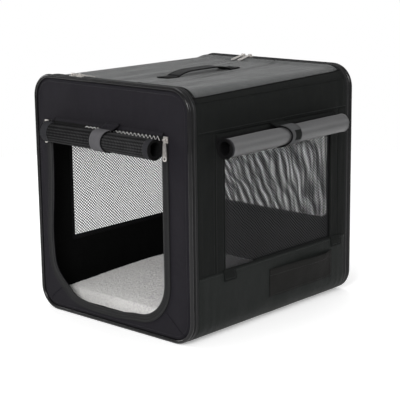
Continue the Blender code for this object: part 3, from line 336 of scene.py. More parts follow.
def moulded(name, colour, roughness=0.55):
    return surface(name, colour, ((1.0, 0, 0.05, 4.0), (0, 0.0002, 0.0012)),
                   ((0.35, 0.8), (0.6, 1.0), (0.8, 1.3)), (roughness - 0.08, roughness + 0.1))


def die_cast(name, colour):
    """Bright plated zinc with soft wear."""
    return surface(name, colour, ((1.0, 0, 0.004, 4.0), (0, 0.00012, 0.0015)),
                   ((0.3, 0.73), (0.5, 1.0), (0.7, 1.27)), (0.28, 0.44), metallic=0.7)


def rolled_netting(name):
    """Layers of netting rolled up: pale courses with dark gaps between them."""
    look = Shading(name, 0.6, specular=0.1)
    tone = look.mix((look.threads("X", ROLL_RIB_PITCH), 0.40), (look.threads("Z", 0.0045), 0.30),
                    (look.noise(0.03, 3.0), 0.30))
    look.colours(tone, (0.25, (0.001, 0.001, 0.0012)), (0.5, (0.006, 0.006, 0.0064)),
                 (0.7, (0.040, 0.040, 0.041)))
    look.bump((tone, 0.0006))
    look.sheen(0.03)
    return look.material


def fleece_pile(name):
    """Short off-white pile with lilac-grey tufts: paler towards the front left by the door, as painted
    light, and darker with stronger tufts towards the rear right, as painted shade.
    """
    look = Shading(name, specular=0.15)
    tufts, fine, drift = look.noise(0.0048, 4.0, roughness=0.65), look.noise(0.0013, 3.0), look.noise(0.07)
    axes = look.add("SeparateXYZ", {"Vector": look.place}).outputs
    place = look.mix((axes["X"], 5.0), (axes["Y"], 4.5), (drift, 1.0))
    tufts_and_shade = look.math("ADD", place, 0.25, clamp=True)
    depth = look.math("MULTIPLY", look.math("SUBTRACT", tufts, 0.5), look.spread(tufts_and_shade, 0.25, 1.0))
    # Painted light and shade: the tone drops towards the rear right, away from the door
    tone = look.math("ADD", look.mix((depth, 1.0), (fine, 0.3), (tufts_and_shade, -0.10)), 0.49)
    look.colours(tone, (0.38, (0.33, 0.30, 0.36)), (0.48, (0.58, 0.54, 0.60)), (0.57, (0.80, 0.77, 0.77)),
                 (0.66, (0.95, 0.94, 0.91)))
    look.roughness(tufts, 0.88, 1.0)
    look.bump((tufts, 0.004), (fine, 0.0015))
    look.sheen(0.3, 0.5)
    return look.material


# The roof's colour: its own blue-green tint, painted about three times lighter than the side cloth for the
# light that falls on the top
BLACK, ROOF_PAINTED_LIGHTER = (0.0070, 0.0079, 0.0074), (0.0222, 0.0254, 0.0252)

SIDE_CLOTH = woven("side_cloth", BLACK, "YZ")
# Painted light: the lower wall band is the black cloth at twice its brightness, for the light that falls on
# that band; the bottom cloth uses it too
LOWER_CLOTH_PAINTED_LIGHTER = woven("lower_cloth_painted_lighter", shaded(BLACK, 2.0), "YZ", roughness=0.55)
FRONT_CLOTH = woven("front_cloth_weave", (0.0128, 0.0116, 0.0150), "XZ")
REAR_CLOTH = woven("rear_cloth_weave", BLACK, "XZ")
ROOF_CLOTH = woven("roof_cloth_weave", ROOF_PAINTED_LIGHTER, "XY", roughness=0.53, sheen=0.25, specular=0.36)
POCKET_CLOTH = woven("pocket_cloth", (0.0125, 0.0122, 0.0114), "YZ")
# Painted shade: the inside faces of the cloth are darker and duller than the outside, as the shade inside
# the crate
SHADED_INNER_CLOTH = woven("inner_cloth_painted_shade", (0.0040, 0.0042, 0.0041), "YZ", sheen=0.0, specular=0.05)
LINING = coated_lining("flap_lining", (0.070, 0.070, 0.0715))
FLAP_STRAP_CLOTH = webbing("flap_strap_cloth", (0.058, 0.059, 0.061), "Y", "Z")
DOOR_STRAP_CLOTH = webbing("door_strap_cloth", (0.080, 0.078, 0.084), "X", "Z")
HANDLE_CLOTH = webbing("handle_cloth", (0.011, 0.0115, 0.012), "X", "Y")
# Near-black matt cloth for bindings, welts, handle-end covers and the roof's rims; on the strip above each
# roll and on its inner turns it is painted shade
BINDING_AND_SHADE_CLOTH = woven("edge_binding_and_painted_shade", (0.0045, 0.0045, 0.0048), "XZ", sheen=0.0, specular=0.1)
# Tape at the door roll's ends, lighter than the netting; at the right end it is also a painted highlight
DOOR_EDGE_AND_HIGHLIGHT = woven("door_edge_tape_and_painted_highlight", (0.022, 0.022, 0.025), "XZ")
FLAP_EDGE = woven("flap_edge_tape", (0.024, 0.024, 0.027), "YZ")
PIPING = bound_piping("piping_cloth", (0.0055, 0.0052, 0.0058))
NET = netting("net_yarn", (0.0095, 0.0095, 0.0105))
ROLL_NET = rolled_netting("rolled_net_yarn")
TAPE = webbing("zip_tape_cloth", (0.0070, 0.0070, 0.0075), "X", "Z")
TEETH = moulded("zip_coil", (0.0090, 0.0090, 0.0095), 0.4)
DARK_THREAD = thread("dark_thread", (0.026, 0.026, 0.027))
PAINTED_LIGHT_YARN = thread("painted_light_yarn", (0.80, 0.79, 0.78))
FLEECE = fleece_pile("fleece_pile")
STEEL = powder_coat("steel_coat", (0.11, 0.11, 0.115))
BOARD = moulded("board_plastic", (0.05, 0.05, 0.052))
BUTTON = moulded("button_plastic", (0.10, 0.10, 0.10))
ZIP_METAL = die_cast("zip_metal", (0.68, 0.65, 0.62))


# Mesh making

class Shape:
    """Points and faces gathered into one mesh."""

    def __init__(self):
        self.points = []
        self.faces = []
        self.slots = []

    def point(self, place):
        self.points.append(tuple(place))
        return len(self.points) - 1

    def face(self, corners, slot=0):
        self.faces.append(tuple(corners))
        self.slots.append(slot)

    def grid(self, rows, around=False, keep=None, slot=None, closed_rows=False):
        """Quads through rows of points; around closes each row, keep and slot take (i, j)."""
        ids = [[self.point(place) for place in row] for row in rows]
        across = len(ids[0])
        for i in range(len(ids) if closed_rows else len(ids) - 1):
            above = ids[(i + 1) % len(ids)]
            for j in range(across if around else across - 1):
                if keep is None or keep(i, j):
                    right = (j + 1) % across
                    self.face((ids[i][j], above[j], above[right], ids[i][right]), slot(i, j) if slot else 0)
        return ids

    def cap(self, rings, slot=0):
        """Close both ends of a tube."""
        self.face(rings[0], slot)
        self.face(rings[-1][::-1], slot)

    def block(self, centre, axes, halves, slot=0):
        """A small box with its edges along three axes."""
        ids = [self.point(centre + axes[0] * (a * halves[0]) + axes[1] * (b * halves[1])
                          + axes[2] * (c * halves[2]))
               for a in (-1, 1) for b in (-1, 1) for c in (-1, 1)]
        for corners in ((0, 1, 3, 2), (4, 6, 7, 5), (0, 4, 5, 1), (2, 3, 7, 6), (0, 2, 6, 4), (1, 5, 7, 3)):
            self.face((ids[k] for k in corners), slot)

    def stitch(self, start, end, out, slot):
        """One raised thread, thickest in its middle."""
        side = (end - start).cross(out).normalized() * (STITCH_WIDTH / 2)
        middle = (start + end) / 2
        tips = [self.point(start), self.point(end)]
        ring = [self.point(middle + side), self.point(middle + out * STITCH_WIDTH * 0.7),
                self.point(middle - side), self.point(middle - out * STITCH_WIDTH * 0.4)]
        for k in range(4):
            self.face((tips[0], ring[(k + 1) % 4], ring[k]), slot)
            self.face((tips[1], ring[k], ring[(k + 1) % 4]), slot)

    def stitches(self, path, out, slot=1):
        """A row of stitches along a path; out points off the cloth."""
        for start, end in zip(path, path[1:]):
            run = end - start
            if run.length < 1e-6:
                continue
            count = max(1, round(run.length / STITCH_PITCH))
            for s in range(count):
                place = start + run * (s / count)
                self.stitch(place, place + run.normalized() * STITCH_LENGTH, out, slot)

    def tube(self, path, radius, sides=6, closed=False, slot=0):
        """A round tube along a path, with its ends closed when it is open."""
        rows = []
        side = None
        for k, place in enumerate(path):
            run = run_at(path, k, closed)
            if side is None:
                side = run.cross(Z_AXIS if abs(run.z) < 0.9 else X_AXIS).normalized()
            side = (side - run * side.dot(run)).normalized()
            other = run.cross(side)
            rows.append([place + (side * math.cos(turn) + other * math.sin(turn)) * radius
                         for turn in turns(sides)])
        ids = self.grid(rows, around=True, slot=lambda i, j: slot, closed_rows=closed)
        if not closed:
            self.cap(ids, slot)

    def piece(self, name, materials, sharp=None):
        mesh = bpy.data.meshes.new(name)
        mesh.from_pydata(self.points, [], self.faces)
        for material in materials if isinstance(materials, (list, tuple)) else [materials]:
            mesh.materials.append(material)
        mesh.polygons.foreach_set("material_index", self.slots)
        mesh.update()
        mesh.shade_smooth()
        if sharp:
            mesh.set_sharp_from_angle(angle=math.radians(sharp))
        item = bpy.data.objects.new(name, mesh)
        bpy.context.scene.collection.objects.link(item)
        return item


def bake(item):
    """Turn the piece's modifiers into its mesh."""
    bpy.context.view_layer.update()
    evaluated = item.evaluated_get(bpy.context.evaluated_depsgraph_get())
    mesh = bpy.data.meshes.new_from_object(evaluated)
    item.modifiers.clear()
    item.data = mesh
    return item


def thicken(item, thickness, offset=-1.0, lining=None):
    """Give a sheet its thickness, behind its outer face when offset is -1, and its back a second material;
    the crate's cloth gets a darker inner face this way, painted shade.
    """
    change = item.modifiers.new("Thickness", "SOLIDIFY")
    change.thickness = thickness
    change.offset = offset
    if lining:
        outer = len(item.data.materials)
        for _ in range(outer):
            item.data.materials.append(lining)
        change.material_offset = outer
    return bake(item)


def face_outwards(item, inside=(0, 0, 0)):
    """Flip the mesh if its faces look towards an inner point."""
    mesh = item.data
    if sum(face.normal.dot(face.center - Vector(inside)) * face.area for face in mesh.polygons) < 0:
        mesh.flip_normals()
    return item


def ripple(a, b, size_a, size_b, seed):
    """Smooth noise from -1 to 1 over a surface, longer one way than the other."""
    return noise.noise(Vector((a / size_a + 7.3 * seed, b / size_b - 3.1 * seed, seed)))


def ripples(a, b, *layers):
    """The sum of ripples given as (depth, size along a, size along b, seed)."""
    return sum(depth * ripple(a, b, *layer) for depth, *layer in layers)


def fade(value, width):
    """0 at value 0, 1 from width on, smooth between."""
    share = min(max(value / width, 0.0), 1.0)
    return share * share * (3 - 2 * share)


def bell(value, middle, width, power=2):
    return math.exp(-((value - middle) / width) ** power)


def turns(sides):
    return [2 * math.pi * s / sides for s in range(sides)]


def steps(start, end, size):
    """Even stops from start to end, no further apart than size."""
    count = max(1, math.ceil(abs(end - start) / size - 1e-6))
    return [start + (end - start) * k / count for k in range(count + 1)]


def stops(marks, size):
    """Even stops that also hit every mark."""
    found = [marks[0]]
    for low, high in zip(marks, marks[1:]):
        found += steps(low, high, size)[1:]
    return found


def arc(centre, radius, start, end, count):
    return [(centre[0] + radius * math.cos(start + (end - start) * k / count),
             centre[1] + radius * math.sin(start + (end - start) * k / count))
            for k in range(count + 1)]


def rounded(left, right, bottom, top, lower, upper, count=20):
    """A rounded rectangle, anticlockwise, with the radii of its lower and upper corners."""
    quarter = math.pi / 2
    return (arc((right - lower, bottom + lower), lower, -quarter, 0, count)
            + arc((right - upper, top - upper), upper, 0, quarter, count)
            + arc((left + upper, top - upper), upper, quarter, 2 * quarter, count)
            + arc((left + lower, bottom + lower), lower, 2 * quarter, 3 * quarter, count))


def end_outline(half_width, bottom, top, radius):
    return rounded(-half_width, half_width, bottom, top, radius, radius)


def box_outline(inset):
    return end_outline(HALF_WIDTH - inset, inset, HEIGHT - inset, CORNER_RADIUS - inset)


REAR_WINDOW = end_outline(REAR_WINDOW_HALF_WIDTH, REAR_WINDOW_BOTTOM, WINDOW_TOP, REAR_WINDOW_RADIUS)
SKIN_OUTLINE = end_outline(SKIN_HALF_WIDTH, 0, SKIN_TOP, SKIN_RADIUS)


def run_at(path, k, closed):
    """The direction of a path at its k-th point."""
    last = len(path) - 1
    before = path[k - 1] if k or closed else path[0]
    after = path[k + 1] if k < last else path[0 if closed else last]
    return (after - before).normalized()


def walk(outline, spacing, closed=True):
    """Evenly spaced stops on an outline (x, z), each with its run and its outward direction."""
    corners = [Vector(p) for p in outline]
    if closed:
        corners.append(corners[0])
    lengths = [0.0]
    for a, b in zip(corners, corners[1:]):
        lengths.append(lengths[-1] + (b - a).length)
    count = max(3, round(lengths[-1] / spacing))
    places = []
    k = 0
    for step in range(count if closed else count + 1):
        target = lengths[-1] * step / count
        while k < len(lengths) - 2 and lengths[k + 1] < target:
            k += 1
        share = (target - lengths[k]) / max(lengths[k + 1] - lengths[k], 1e-9)
        places.append(corners[k].lerp(corners[k + 1], share))
    runs = [run_at(places, k, closed) for k in range(len(places))]
    return [(place, run, Vector((run.y, -run.x))) for place, run in zip(places, runs)]


def traced(outline, spacing, spot, lift, outwards=0.0):
    """A closed row of points on an end panel, along an outline or outwards of it."""
    return [spot(place.x + out.x * outwards, place.y + out.y * outwards, lift)
            for place, run, out in walk(outline, spacing)]


# Front and rear panels, piping and the zips round the ends

def inside_edge(x, z):
    """How far a point of an end panel lies inside the panel's outline."""
    radius = CORNER_RADIUS - PANEL_INSET
    over_x = abs(x) - (HALF_WIDTH - PANEL_INSET - radius)
    over_z = abs(z - HEIGHT / 2) - (HEIGHT / 2 - PANEL_INSET - radius)
    return radius - math.hypot(max(over_x, 0.0), max(over_z, 0.0)) - min(max(over_x, over_z), 0.0)


def panel_relief(x, z, free, *layers):
    """How far a panel stands off its plane: it dips at the piping seam and ripples where it is free."""
    dip = -0.0011 * math.exp(-max(inside_edge(x, z), 0.0) / 0.004)
    return dip + free * (ripples(x, z, *layers) + 0.0006)


def front_relief(x, z):
    from_door = max(DOOR_LEFT - x, x - DOOR_RIGHT, DOOR_BOTTOM - z, z - DOOR_TOP) - DOOR_TAPE_WIDTH
    free = min(1.0, max(0.0, from_door / 0.020)) * min(1.0, max(inside_edge(x, z), 0.0) / 0.012)
    return panel_relief(x, z, free, (0.0012, 0.05, 0.035, 1.0), (0.0005, 0.018, 0.05, 2.0))


def rear_relief(x, z):
    clear = max(abs(x) - REAR_WINDOW_HALF_WIDTH, REAR_WINDOW_BOTTOM - z, z - WINDOW_TOP)
    free = fade(inside_edge(x, z), 0.02) * fade(clear, 0.02)
    return panel_relief(x, z, free, (0.0016, 0.09, 0.06, 5.0), (0.0007, 0.02, 0.07, 6.0))


def out_of_true(x, z):
    """Where slack draws a point of the front cloth: the door's left edge bows out, its sill hangs down."""
    hold = fade(inside_edge(x, z), 0.018)
    bow = -0.0075 * bell(z, 0.135, 0.065) * bell(x, -0.145, 0.045)
    corner = 0.008 * bell(z, 0.050, 0.022) * bell(x, -0.118, 0.022)
    hang = -0.0062 * bell(x, -0.020, 0.060, 4) * bell(z, 0.030, 0.030)
    return x + hold * (bow + corner), z + hold * hang


def on_front(x, z, lift=0.0):
    moved_x, moved_z = out_of_true(x, z)
    return Vector((moved_x, -(PANEL_FRONT_Y - TOUCH_GAP + front_relief(x, z) + lift), moved_z))


def on_rear(x, z, lift=0.0):
    return Vector((x, PANEL_FRONT_Y - TOUCH_GAP + rear_relief(x, z) + lift, z))


def ray_reach(outline, centre, run):
    """Distance from a centre to a closed outline along one direction."""
    reaches = []
    for a, b in zip(outline, outline[1:] + outline[:1]):
        a, b = Vector(a) - centre, Vector(b) - centre
        edge = b - a
        crossing = run.x * edge.y - run.y * edge.x
        if abs(crossing) < 1e-12:
            continue
        reach = (a.x * edge.y - a.y * edge.x) / crossing
        share = (a.x * run.y - a.y * run.x) / crossing
        if reach > 0 and -1e-9 <= share <= 1 + 1e-9:
            reaches.append(reach)
    return min(reaches)


def ring_cloth(opening, centre, spot, name, material):
    """End panel: cloth from an opening to the piping, gathered in rings round a centre."""
    shape = Shape()
    shares = (0.0, 0.04, 0.12, 0.22, 0.34, 0.46, 0.58, 0.70, 0.80, 0.88, 0.94, 0.98, 1.0)
    rows = []
    for angle in turns(RING_SPOKES):
        run = Vector((math.cos(angle), math.sin(angle)))
        near, far = (ray_reach(outline, centre, run) for outline in (opening, box_outline(PANEL_INSET)))
        rows.append([spot(*(centre + run * (near + (far - near) * share))) for share in shares])
    shape.grid(rows, closed_rows=True)
    item = face_outwards(shape.piece(name, material), CRATE_MIDDLE)
    return thicken(item, CLOTH_THICKNESS, lining=SHADED_INNER_CLOTH)


def front_cloth():
    opening = rounded(DOOR_LEFT, DOOR_RIGHT, DOOR_BOTTOM, DOOR_TOP, DOOR_LOWER_RADIUS, DOOR_UPPER_RADIUS)
    return ring_cloth(opening, Vector(DOOR_RING_CENTRE), on_front, "front_cloth", FRONT_CLOTH)


def rear_cloth():
    return ring_cloth(REAR_WINDOW, Vector(REAR_RING_CENTRE), on_rear, "rear_cloth", REAR_CLOTH)


def band(shape, outline, spacing, section):
    """Sweep a closed section round an end; section gives (y, distance outwards) at a place."""
    shape.grid([[(place.x + out.x * away, y, place.y + out.y * away) for y, away in section(place)]
                for place, run, out in walk(outline, spacing)], around=True, closed_rows=True)


def piping_loop(end, sign):
    """Bound piping: the cord swells and thins a little under its binding."""
    def section(place):
        girth = PIPING_RADIUS * (0.975 + 0.025 * ripple(place.x, place.y, 0.012, 0.012, 8.0 + sign))
        return [(sign * PIPING_Y + girth * math.sin(turn), girth * math.cos(turn))
                for turn in turns(PIPING_SIDES)]

    shape = Shape()
    band(shape, box_outline(PIPING_RADIUS), PIPING_SPACING, section)
    return face_outwards(shape.piece(end + "_piping_cord", PIPING))


def zip_round_end(end, sign):
    """Zip tape round an end, with its coil in a groove along the middle."""
    middle, half = sign * ZIP_MIDDLE_Y, ZIP_BAND_WIDTH / 2
    profile = ((-1.0, -0.0003), (-0.93, 0.0), (-0.45, -0.0001), (-0.34, -0.0009), (0.34, -0.0009),
               (0.45, -0.0001), (0.93, 0.0), (1.0, -0.0003), (1.0, -0.0018), (-1.0, -0.0018))
    section = [(middle + share * half, away) for share, away in profile]
    tape = Shape()
    band(tape, SKIN_OUTLINE, ZIP_SPACING, lambda place: section)
    for k, (place, run, out) in enumerate(walk(SKIN_OUTLINE, ZIP_TEETH_PITCH)):
        axes = (Vector((run.x, 0, run.y)), Y_AXIS, Vector((out.x, 0, out.y)))
        centre = Vector((place.x, middle + (0.0003 if k % 2 else -0.0003), place.y))
        tape.block(centre - axes[2] * 0.0006, axes, (0.00055, 0.0012, 0.00040), 1)
    return face_outwards(tape.piece(end + "_zip_tape", [TAPE, TEETH], 50))


def on_tape(spot, lift):
    """A point on the door's tape, from its place (x, z) and its height off the front cloth."""
    x, z = out_of_true(spot.x, spot.y)
    return Vector((x, -(PANEL_FRONT_Y + TOUCH_GAP + lift), z))


def door_zip_tape():
    """The open door zip: a stitched tape round the opening, its coil along the inner edge."""
    quarter, radius = math.pi / 2, DOOR_LOWER_RADIUS
    height = DOOR_BOTTOM + radius
    spine = [(DOOR_RIGHT, DOOR_TOP), *arc((DOOR_RIGHT - radius, height), radius, 0, -quarter, 24),
             *arc((DOOR_LEFT + radius, height), radius, -quarter, -2 * quarter, 24), (DOOR_LEFT, DOOR_TOP)]
    profile = ((0.0, 0.0004), (0.0006, 0.0011), (0.0035, 0.0012), (0.0045, 0.0008), (0.0105, 0.0008),
               (0.0118, 0.0013), (0.0128, 0.0011), (0.0130, 0.0003), (0.0130, 0.0), (0.0, 0.0))
    shape = Shape()
    rows = [[on_tape(place - out * reach, lift) for reach, lift in profile]
            for place, run, out in walk(spine, DOOR_TAPE_SPACING, closed=False)]
    shape.cap(shape.grid(rows, around=True))
    for place, run, out in walk(spine, ZIP_TEETH_PITCH, closed=False):
        axes = (Vector((run.x, 0, run.y)), Vector((-out.x, 0, -out.y)), -Y_AXIS)
        shape.block(on_tape(place - out * 0.0002, 0.0004), axes, (0.00055, 0.0011, 0.0005), 1)
    for reach in TAPE_STITCH_PLACES:
        line = [on_tape(place - out * reach, 0.0009)
                for place, run, out in walk(spine, STITCH_PITCH, closed=False)]
        shape.stitches(line, -Y_AXIS, 2)
    return shape.piece("door_zip_tape", [TAPE, TEETH, DARK_THREAD], 50)


def front_seams():
    """Mitre welts at the lower corners, the row of stitches inside the piping, and a pale zigzag above the
    door roll, painted light shining through the netting there.
    """
    shape = Shape()
    for start, end in MITRE_WELTS:
        path = [on_front(*Vector(start).lerp(Vector(end), k / 8)) for k in range(9)]
        shape.tube(path, FINE_WELT_RADIUS)
        shift = Vector((0.0022, 0, 0.0022 if start[0] < 0 else -0.0022))
        shape.stitches([p + shift for p in path[::2]], -Y_AXIS)
    ring = traced(box_outline(PANEL_INSET + PANEL_STITCH_INSET), STITCH_PITCH, on_front, 0.0005)
    shape.stitches(ring + ring[:1], -Y_AXIS)
    # The pale zigzag above the door roll is painted light
    painted_light_zigzag = []
    for k, x in enumerate(steps(PAINTED_LIGHT_ZIGZAG_LEFT, PAINTED_LIGHT_ZIGZAG_RIGHT, PAINTED_LIGHT_ZIGZAG_PITCH)):
        share = (x - PAINTED_LIGHT_ZIGZAG_LEFT) / (PAINTED_LIGHT_ZIGZAG_RIGHT - PAINTED_LIGHT_ZIGZAG_LEFT)
        swing = (0.0010 + 0.0022 * share) * (1 if k % 2 else -1)
        painted_light_zigzag.append(Vector((x, -(PANEL_FRONT_Y + PAINTED_LIGHT_ZIGZAG_GAP), PAINTED_LIGHT_ZIGZAG_HEIGHT - 0.0018 * share + swing)))
    shape.tube(painted_light_zigzag, PAINTED_LIGHT_ZIGZAG_RADIUS, 5, slot=2)
    return shape.piece("front_seams", [FRONT_CLOTH, DARK_THREAD, PAINTED_LIGHT_YARN])


def rear_seams():
    shape = Shape()
    shape.tube(traced(REAR_WINDOW, STITCH_PITCH, on_rear, 0.0004), WELT_RADIUS, closed=True)
    for outline, outwards in ((box_outline(PANEL_INSET + PANEL_STITCH_INSET), 0.0), (REAR_WINDOW, 0.004)):
        ring = traced(outline, STITCH_PITCH, on_rear, 0.0004, outwards)
        shape.stitches(ring + ring[:1], Y_AXIS)
    reach = HALF_WIDTH - PANEL_INSET - 0.001
    for z in (LOWER_SEAM_Z, UPPER_SEAM_Z):
        path = [on_rear(x, z) for x in steps(-reach, reach, 0.005)]
        shape.tube(path, FINE_WELT_RADIUS)
        shape.stitches([p - Z_AXIS * 0.003 + Y_AXIS * 0.0005 for p in path], Y_AXIS)
    return shape.piece("rear_seams", [REAR_CLOTH, DARK_THREAD])


# Side walls, pocket and bottom

def window_clearance(y, z):
    return max(WINDOW_FRONT - y, y - WINDOW_REAR, WINDOW_BOTTOM - z, z - WINDOW_TOP)


def side_relief(sign, y, z):
    """Outward swell of a side wall: tension folds by the zips, slack in between, hems at the window."""
    seed = 11.0 + sign
    from_end = WALL_END_Y - abs(y)
    around = fade(window_clearance(y, z) - 0.002, 0.016)
    slack = ripples(y, z, (0.0022 * math.exp(-from_end / 0.035), 0.0085, 0.13, seed),
                    (0.0018, 0.055, 0.10, seed + 3), (0.0007, 0.02, 0.03, seed + 5),
                    (0.0012 * fade(z - UPPER_SEAM_Z, 0.02), 0.10, 0.018, seed + 7))
    lower = 0.0014 * fade(LOWER_SEAM_Z - z, 0.004) * fade(z, 0.03)
    return fade(from_end, 0.012) * (around * (slack + 0.0005) + lower)


def side_point(sign, y, height, lift=0.0):
    """A point on a side wall; height runs up the wall and round both corner arcs."""
    middle = min(max(height, SKIN_RADIUS), CORNER_Z)
    turn = (height - middle) / SKIN_RADIUS
    reach = SKIN_RADIUS + side_relief(sign, y, height) * math.cos(turn) ** 2 + lift
    return Vector((sign * (CORNER_X + reach * math.cos(turn)), y, middle + reach * math.sin(turn)))


def side_cloth(side, sign):
    """The side wall, open at the window, from the bottom edge to the roof seam."""
    heights = stops((WALL_LOW, SKIN_RADIUS, LOWER_SEAM_Z, WINDOW_BOTTOM, WINDOW_TOP, UPPER_SEAM_Z, CORNER_Z,
                     WALL_HIGH), SKIN_GRID)
    stations = stops((-WALL_END_Y, HEM_FRONT_Y, WINDOW_FRONT, WINDOW_REAR, HEM_REAR_Y, WALL_END_Y),
                     SKIN_GRID)

    def keep(i, j):
        return window_clearance((stations[j] + stations[j + 1]) / 2, (heights[i] + heights[i + 1]) / 2) > 0

    shape = Shape()
    # Below the lower seam the wall takes the black cloth painted twice as light, for the light on the lower
    # band
    shape.grid([[side_point(sign, y, height) for y in stations] for height in heights], keep=keep,
               slot=lambda i, j: 1 if heights[i] < LOWER_SEAM_Z - 1e-6 else 0)
    item = shape.piece("side_cloth_" + side, [SIDE_CLOTH, LOWER_CLOTH_PAINTED_LIGHTER])
    return thicken(face_outwards(item, CRATE_MIDDLE), WALL_THICKNESS, lining=SHADED_INNER_CLOTH)


def side_seams(side, sign):
    """Welts, hems, hook patches and stitches of a side wall."""
    shape = Shape()
    out = X_AXIS * sign
    reach = WALL_END_Y - 0.001
    ends = (-reach, reach)
    window, hem = (WINDOW_BOTTOM, WINDOW_TOP), (LOWER_SEAM_Z, UPPER_SEAM_Z)

    def level(span, z, lift=0.0):
        return [side_point(sign, y, z, lift) for y in steps(*span, SEAM_GRID)]

    def upright(span, y, lift=0.0):
        return [side_point(sign, y, z, lift) for z in steps(*span, SEAM_GRID)]

    for path in (level(ends, UPPER_SEAM_Z), level(ends, LOWER_SEAM_Z), upright(hem, HEM_FRONT_Y),
                 upright(hem, HEM_REAR_Y), level((WINDOW_FRONT, WINDOW_REAR), WINDOW_BOTTOM - 0.0003),
                 upright(window, WINDOW_FRONT - 0.0003), upright(window, WINDOW_REAR + 0.0003)):
        shape.tube(path, WELT_RADIUS)
    shape.tube(level(ends, WALL_HIGH + 0.0004), WELT_RADIUS / 2)
    lift = 0.0002
    for path in (level(ends, UPPER_SEAM_Z + 0.0035, lift), level(ends, LOWER_SEAM_Z - 0.0032, lift),
                 upright(hem, HEM_FRONT_Y + 0.003, lift), upright(hem, HEM_REAR_Y - 0.003, lift),
                 upright(window, WINDOW_FRONT - 0.004, lift), upright(window, WINDOW_REAR + 0.004, lift),
                 upright(hem, HEM_FRONT_Y - 0.003, lift)):
        shape.stitches(path, out)
    for patch in HOOK_PATCHES:
        add_patch(shape, sign, *patch)
    return shape.piece("side_seams_" + side, [SIDE_CLOTH, DARK_THREAD])


def rim_of(rows):
    """The points round the edge of a grid."""
    return rows[0] + [row[-1] for row in rows[1:]] + rows[-1][-2::-1] + [row[0] for row in rows[-2:0:-1]]


def add_patch(shape, sign, front, rear, low, high):
    """A small sewn-on patch that backs a hook inside, with stitches along two of its edges."""
    lift, inset = 0.0011, 0.0025

    def rows(above):
        return [[side_point(sign, y, z, lift + above) for y in steps(front, rear, SEAM_GRID)]
                for z in steps(low, high, SEAM_GRID)]

    shape.grid(rows(0.0))
    shape.tube(rim_of(rows(-0.0003)), 0.0009, closed=True)
    path = [(y, low + inset) for y in steps(front + inset, rear - inset, SEAM_GRID)]
    path += [(rear - inset, z) for z in steps(low + inset, high, SEAM_GRID)[1:]]
    shape.stitches([side_point(sign, y, z, lift + 0.0001) for y, z in path], X_AXIS * sign)


def pocket_gape(y, z):
    """How far the pocket's front stands off the wall: most at the top, towards the rear."""
    share_y = (y - POCKET_FRONT) / (POCKET_REAR - POCKET_FRONT)
    share_z = (z - POCKET_BOTTOM) / (POCKET_TOP - POCKET_BOTTOM)
    ends = fade(share_y, 0.10) * fade(1 - share_y, 0.16)
    gape = 0.0022 + 0.0062 * fade(share_y, 0.75)
    slack = 0.0008 * ripple(y, z, 0.04, 0.03, 61.0)
    return 0.0010 + ends * fade(share_z, 1.1) * (gape + slack)


def pocket():
    """The slip pocket on the right wall, with its bound mouth and stitched edges."""
    def spot(y, z, lift=0.0):
        return side_point(1, y, z, pocket_gape(y, z) + lift)

    stations = steps(POCKET_FRONT, POCKET_REAR, SKIN_GRID)
    heights = steps(POCKET_BOTTOM, POCKET_TOP, SEAM_GRID)
    shape, trim = Shape(), Shape()
    shape.grid([[spot(y, z) for y in stations] for z in heights])
    item = face_outwards(shape.piece("pocket_cloth_panel", POCKET_CLOTH), CRATE_MIDDLE)
    thicken(item, POCKET_THICKNESS)
    trim.tube([spot(y, POCKET_TOP, -0.0005) for y in stations], WELT_RADIUS, 8)
    inset, mouth, lift = 0.0022, 0.010, 0.0001
    for y in (POCKET_FRONT + inset, POCKET_REAR - inset):
        trim.stitches([spot(y, z, lift) for z in heights], X_AXIS)
    for z in (POCKET_BOTTOM + inset, POCKET_TOP - mouth):
        trim.stitches([spot(y, z, lift) for y in stations], X_AXIS)
    return item, trim.piece("pocket_trim", [POCKET_CLOTH, DARK_THREAD])


def bottom_cloth():
    def height(x, y):
        edge = fade(CORNER_X - abs(x), 0.03) * fade(WALL_END_Y - abs(y), 0.03)
        return edge * 0.0006 * (1 + ripple(x, y, 0.05, 0.05, 71.0))

    shape = Shape()
    shape.grid([[(x, y, height(x, y)) for x in steps(-CORNER_X, CORNER_X, BOTTOM_GRID)]
                for y in steps(-WALL_END_Y, WALL_END_Y, BOTTOM_GRID)])
    item = face_outwards(shape.piece("bottom_cloth", LOWER_CLOTH_PAINTED_LIGHTER), CRATE_MIDDLE)
    return thicken(item, BOTTOM_THICKNESS)


# Nets

def diamond_net(name, low, high, share, spot):
    """Knitted diamond netting between two corners; spot gives the place of (along, up, ridge)."""
    shape = Shape()
    columns = round((high[0] - low[0]) / NET_STEP_ALONG)
    rows = round((high[1] - low[1]) / NET_STEP_UP)
    knots = {}

    def place(i, j, ridge=0.0):
        return spot(low[0] + (high[0] - low[0]) * i / columns, low[1] + (high[1] - low[1]) * j / rows, ridge)

    def knot(at):
        if at not in knots:
            knots[at] = shape.point(place(*at, NET_RIDGE))
        return knots[at]

    for i in range(1, columns):
        for j in range(1 + i % 2, rows, 2):
            around = [(i + 1, j), (i, j + 1), (i - 1, j), (i, j - 1)]
            middle = place(i, j)
            corners = [knot(at) for at in around]
            inner = [shape.point(middle.lerp(place(*at), share)) for at in around]
            for k in range(4):
                following = (k + 1) % 4
                shape.face((corners[k], corners[following], inner[following], inner[k]))
    return face_outwards(shape.piece(name, NET), CRATE_MIDDLE)


def net_slack(along, up, clear, seed):
    """Pull along, pull up and inward sag of slack netting."""
    slack = fade(clear, 0.03)
    pull_along = ripples(along, up, (0.0024, 0.026, 0.045, seed), (0.0004, 0.009, 0.014, seed + 1))
    pull_up = ripples(along, up, (0.0022, 0.032, 0.028, seed + 2), (0.0004, 0.010, 0.012, seed + 3))
    sag = max(0.0012 + 0.0020 * ripple(along, up, 0.06, 0.12, seed + 4), 0.0)
    return slack * pull_along, slack * pull_up, slack * sag


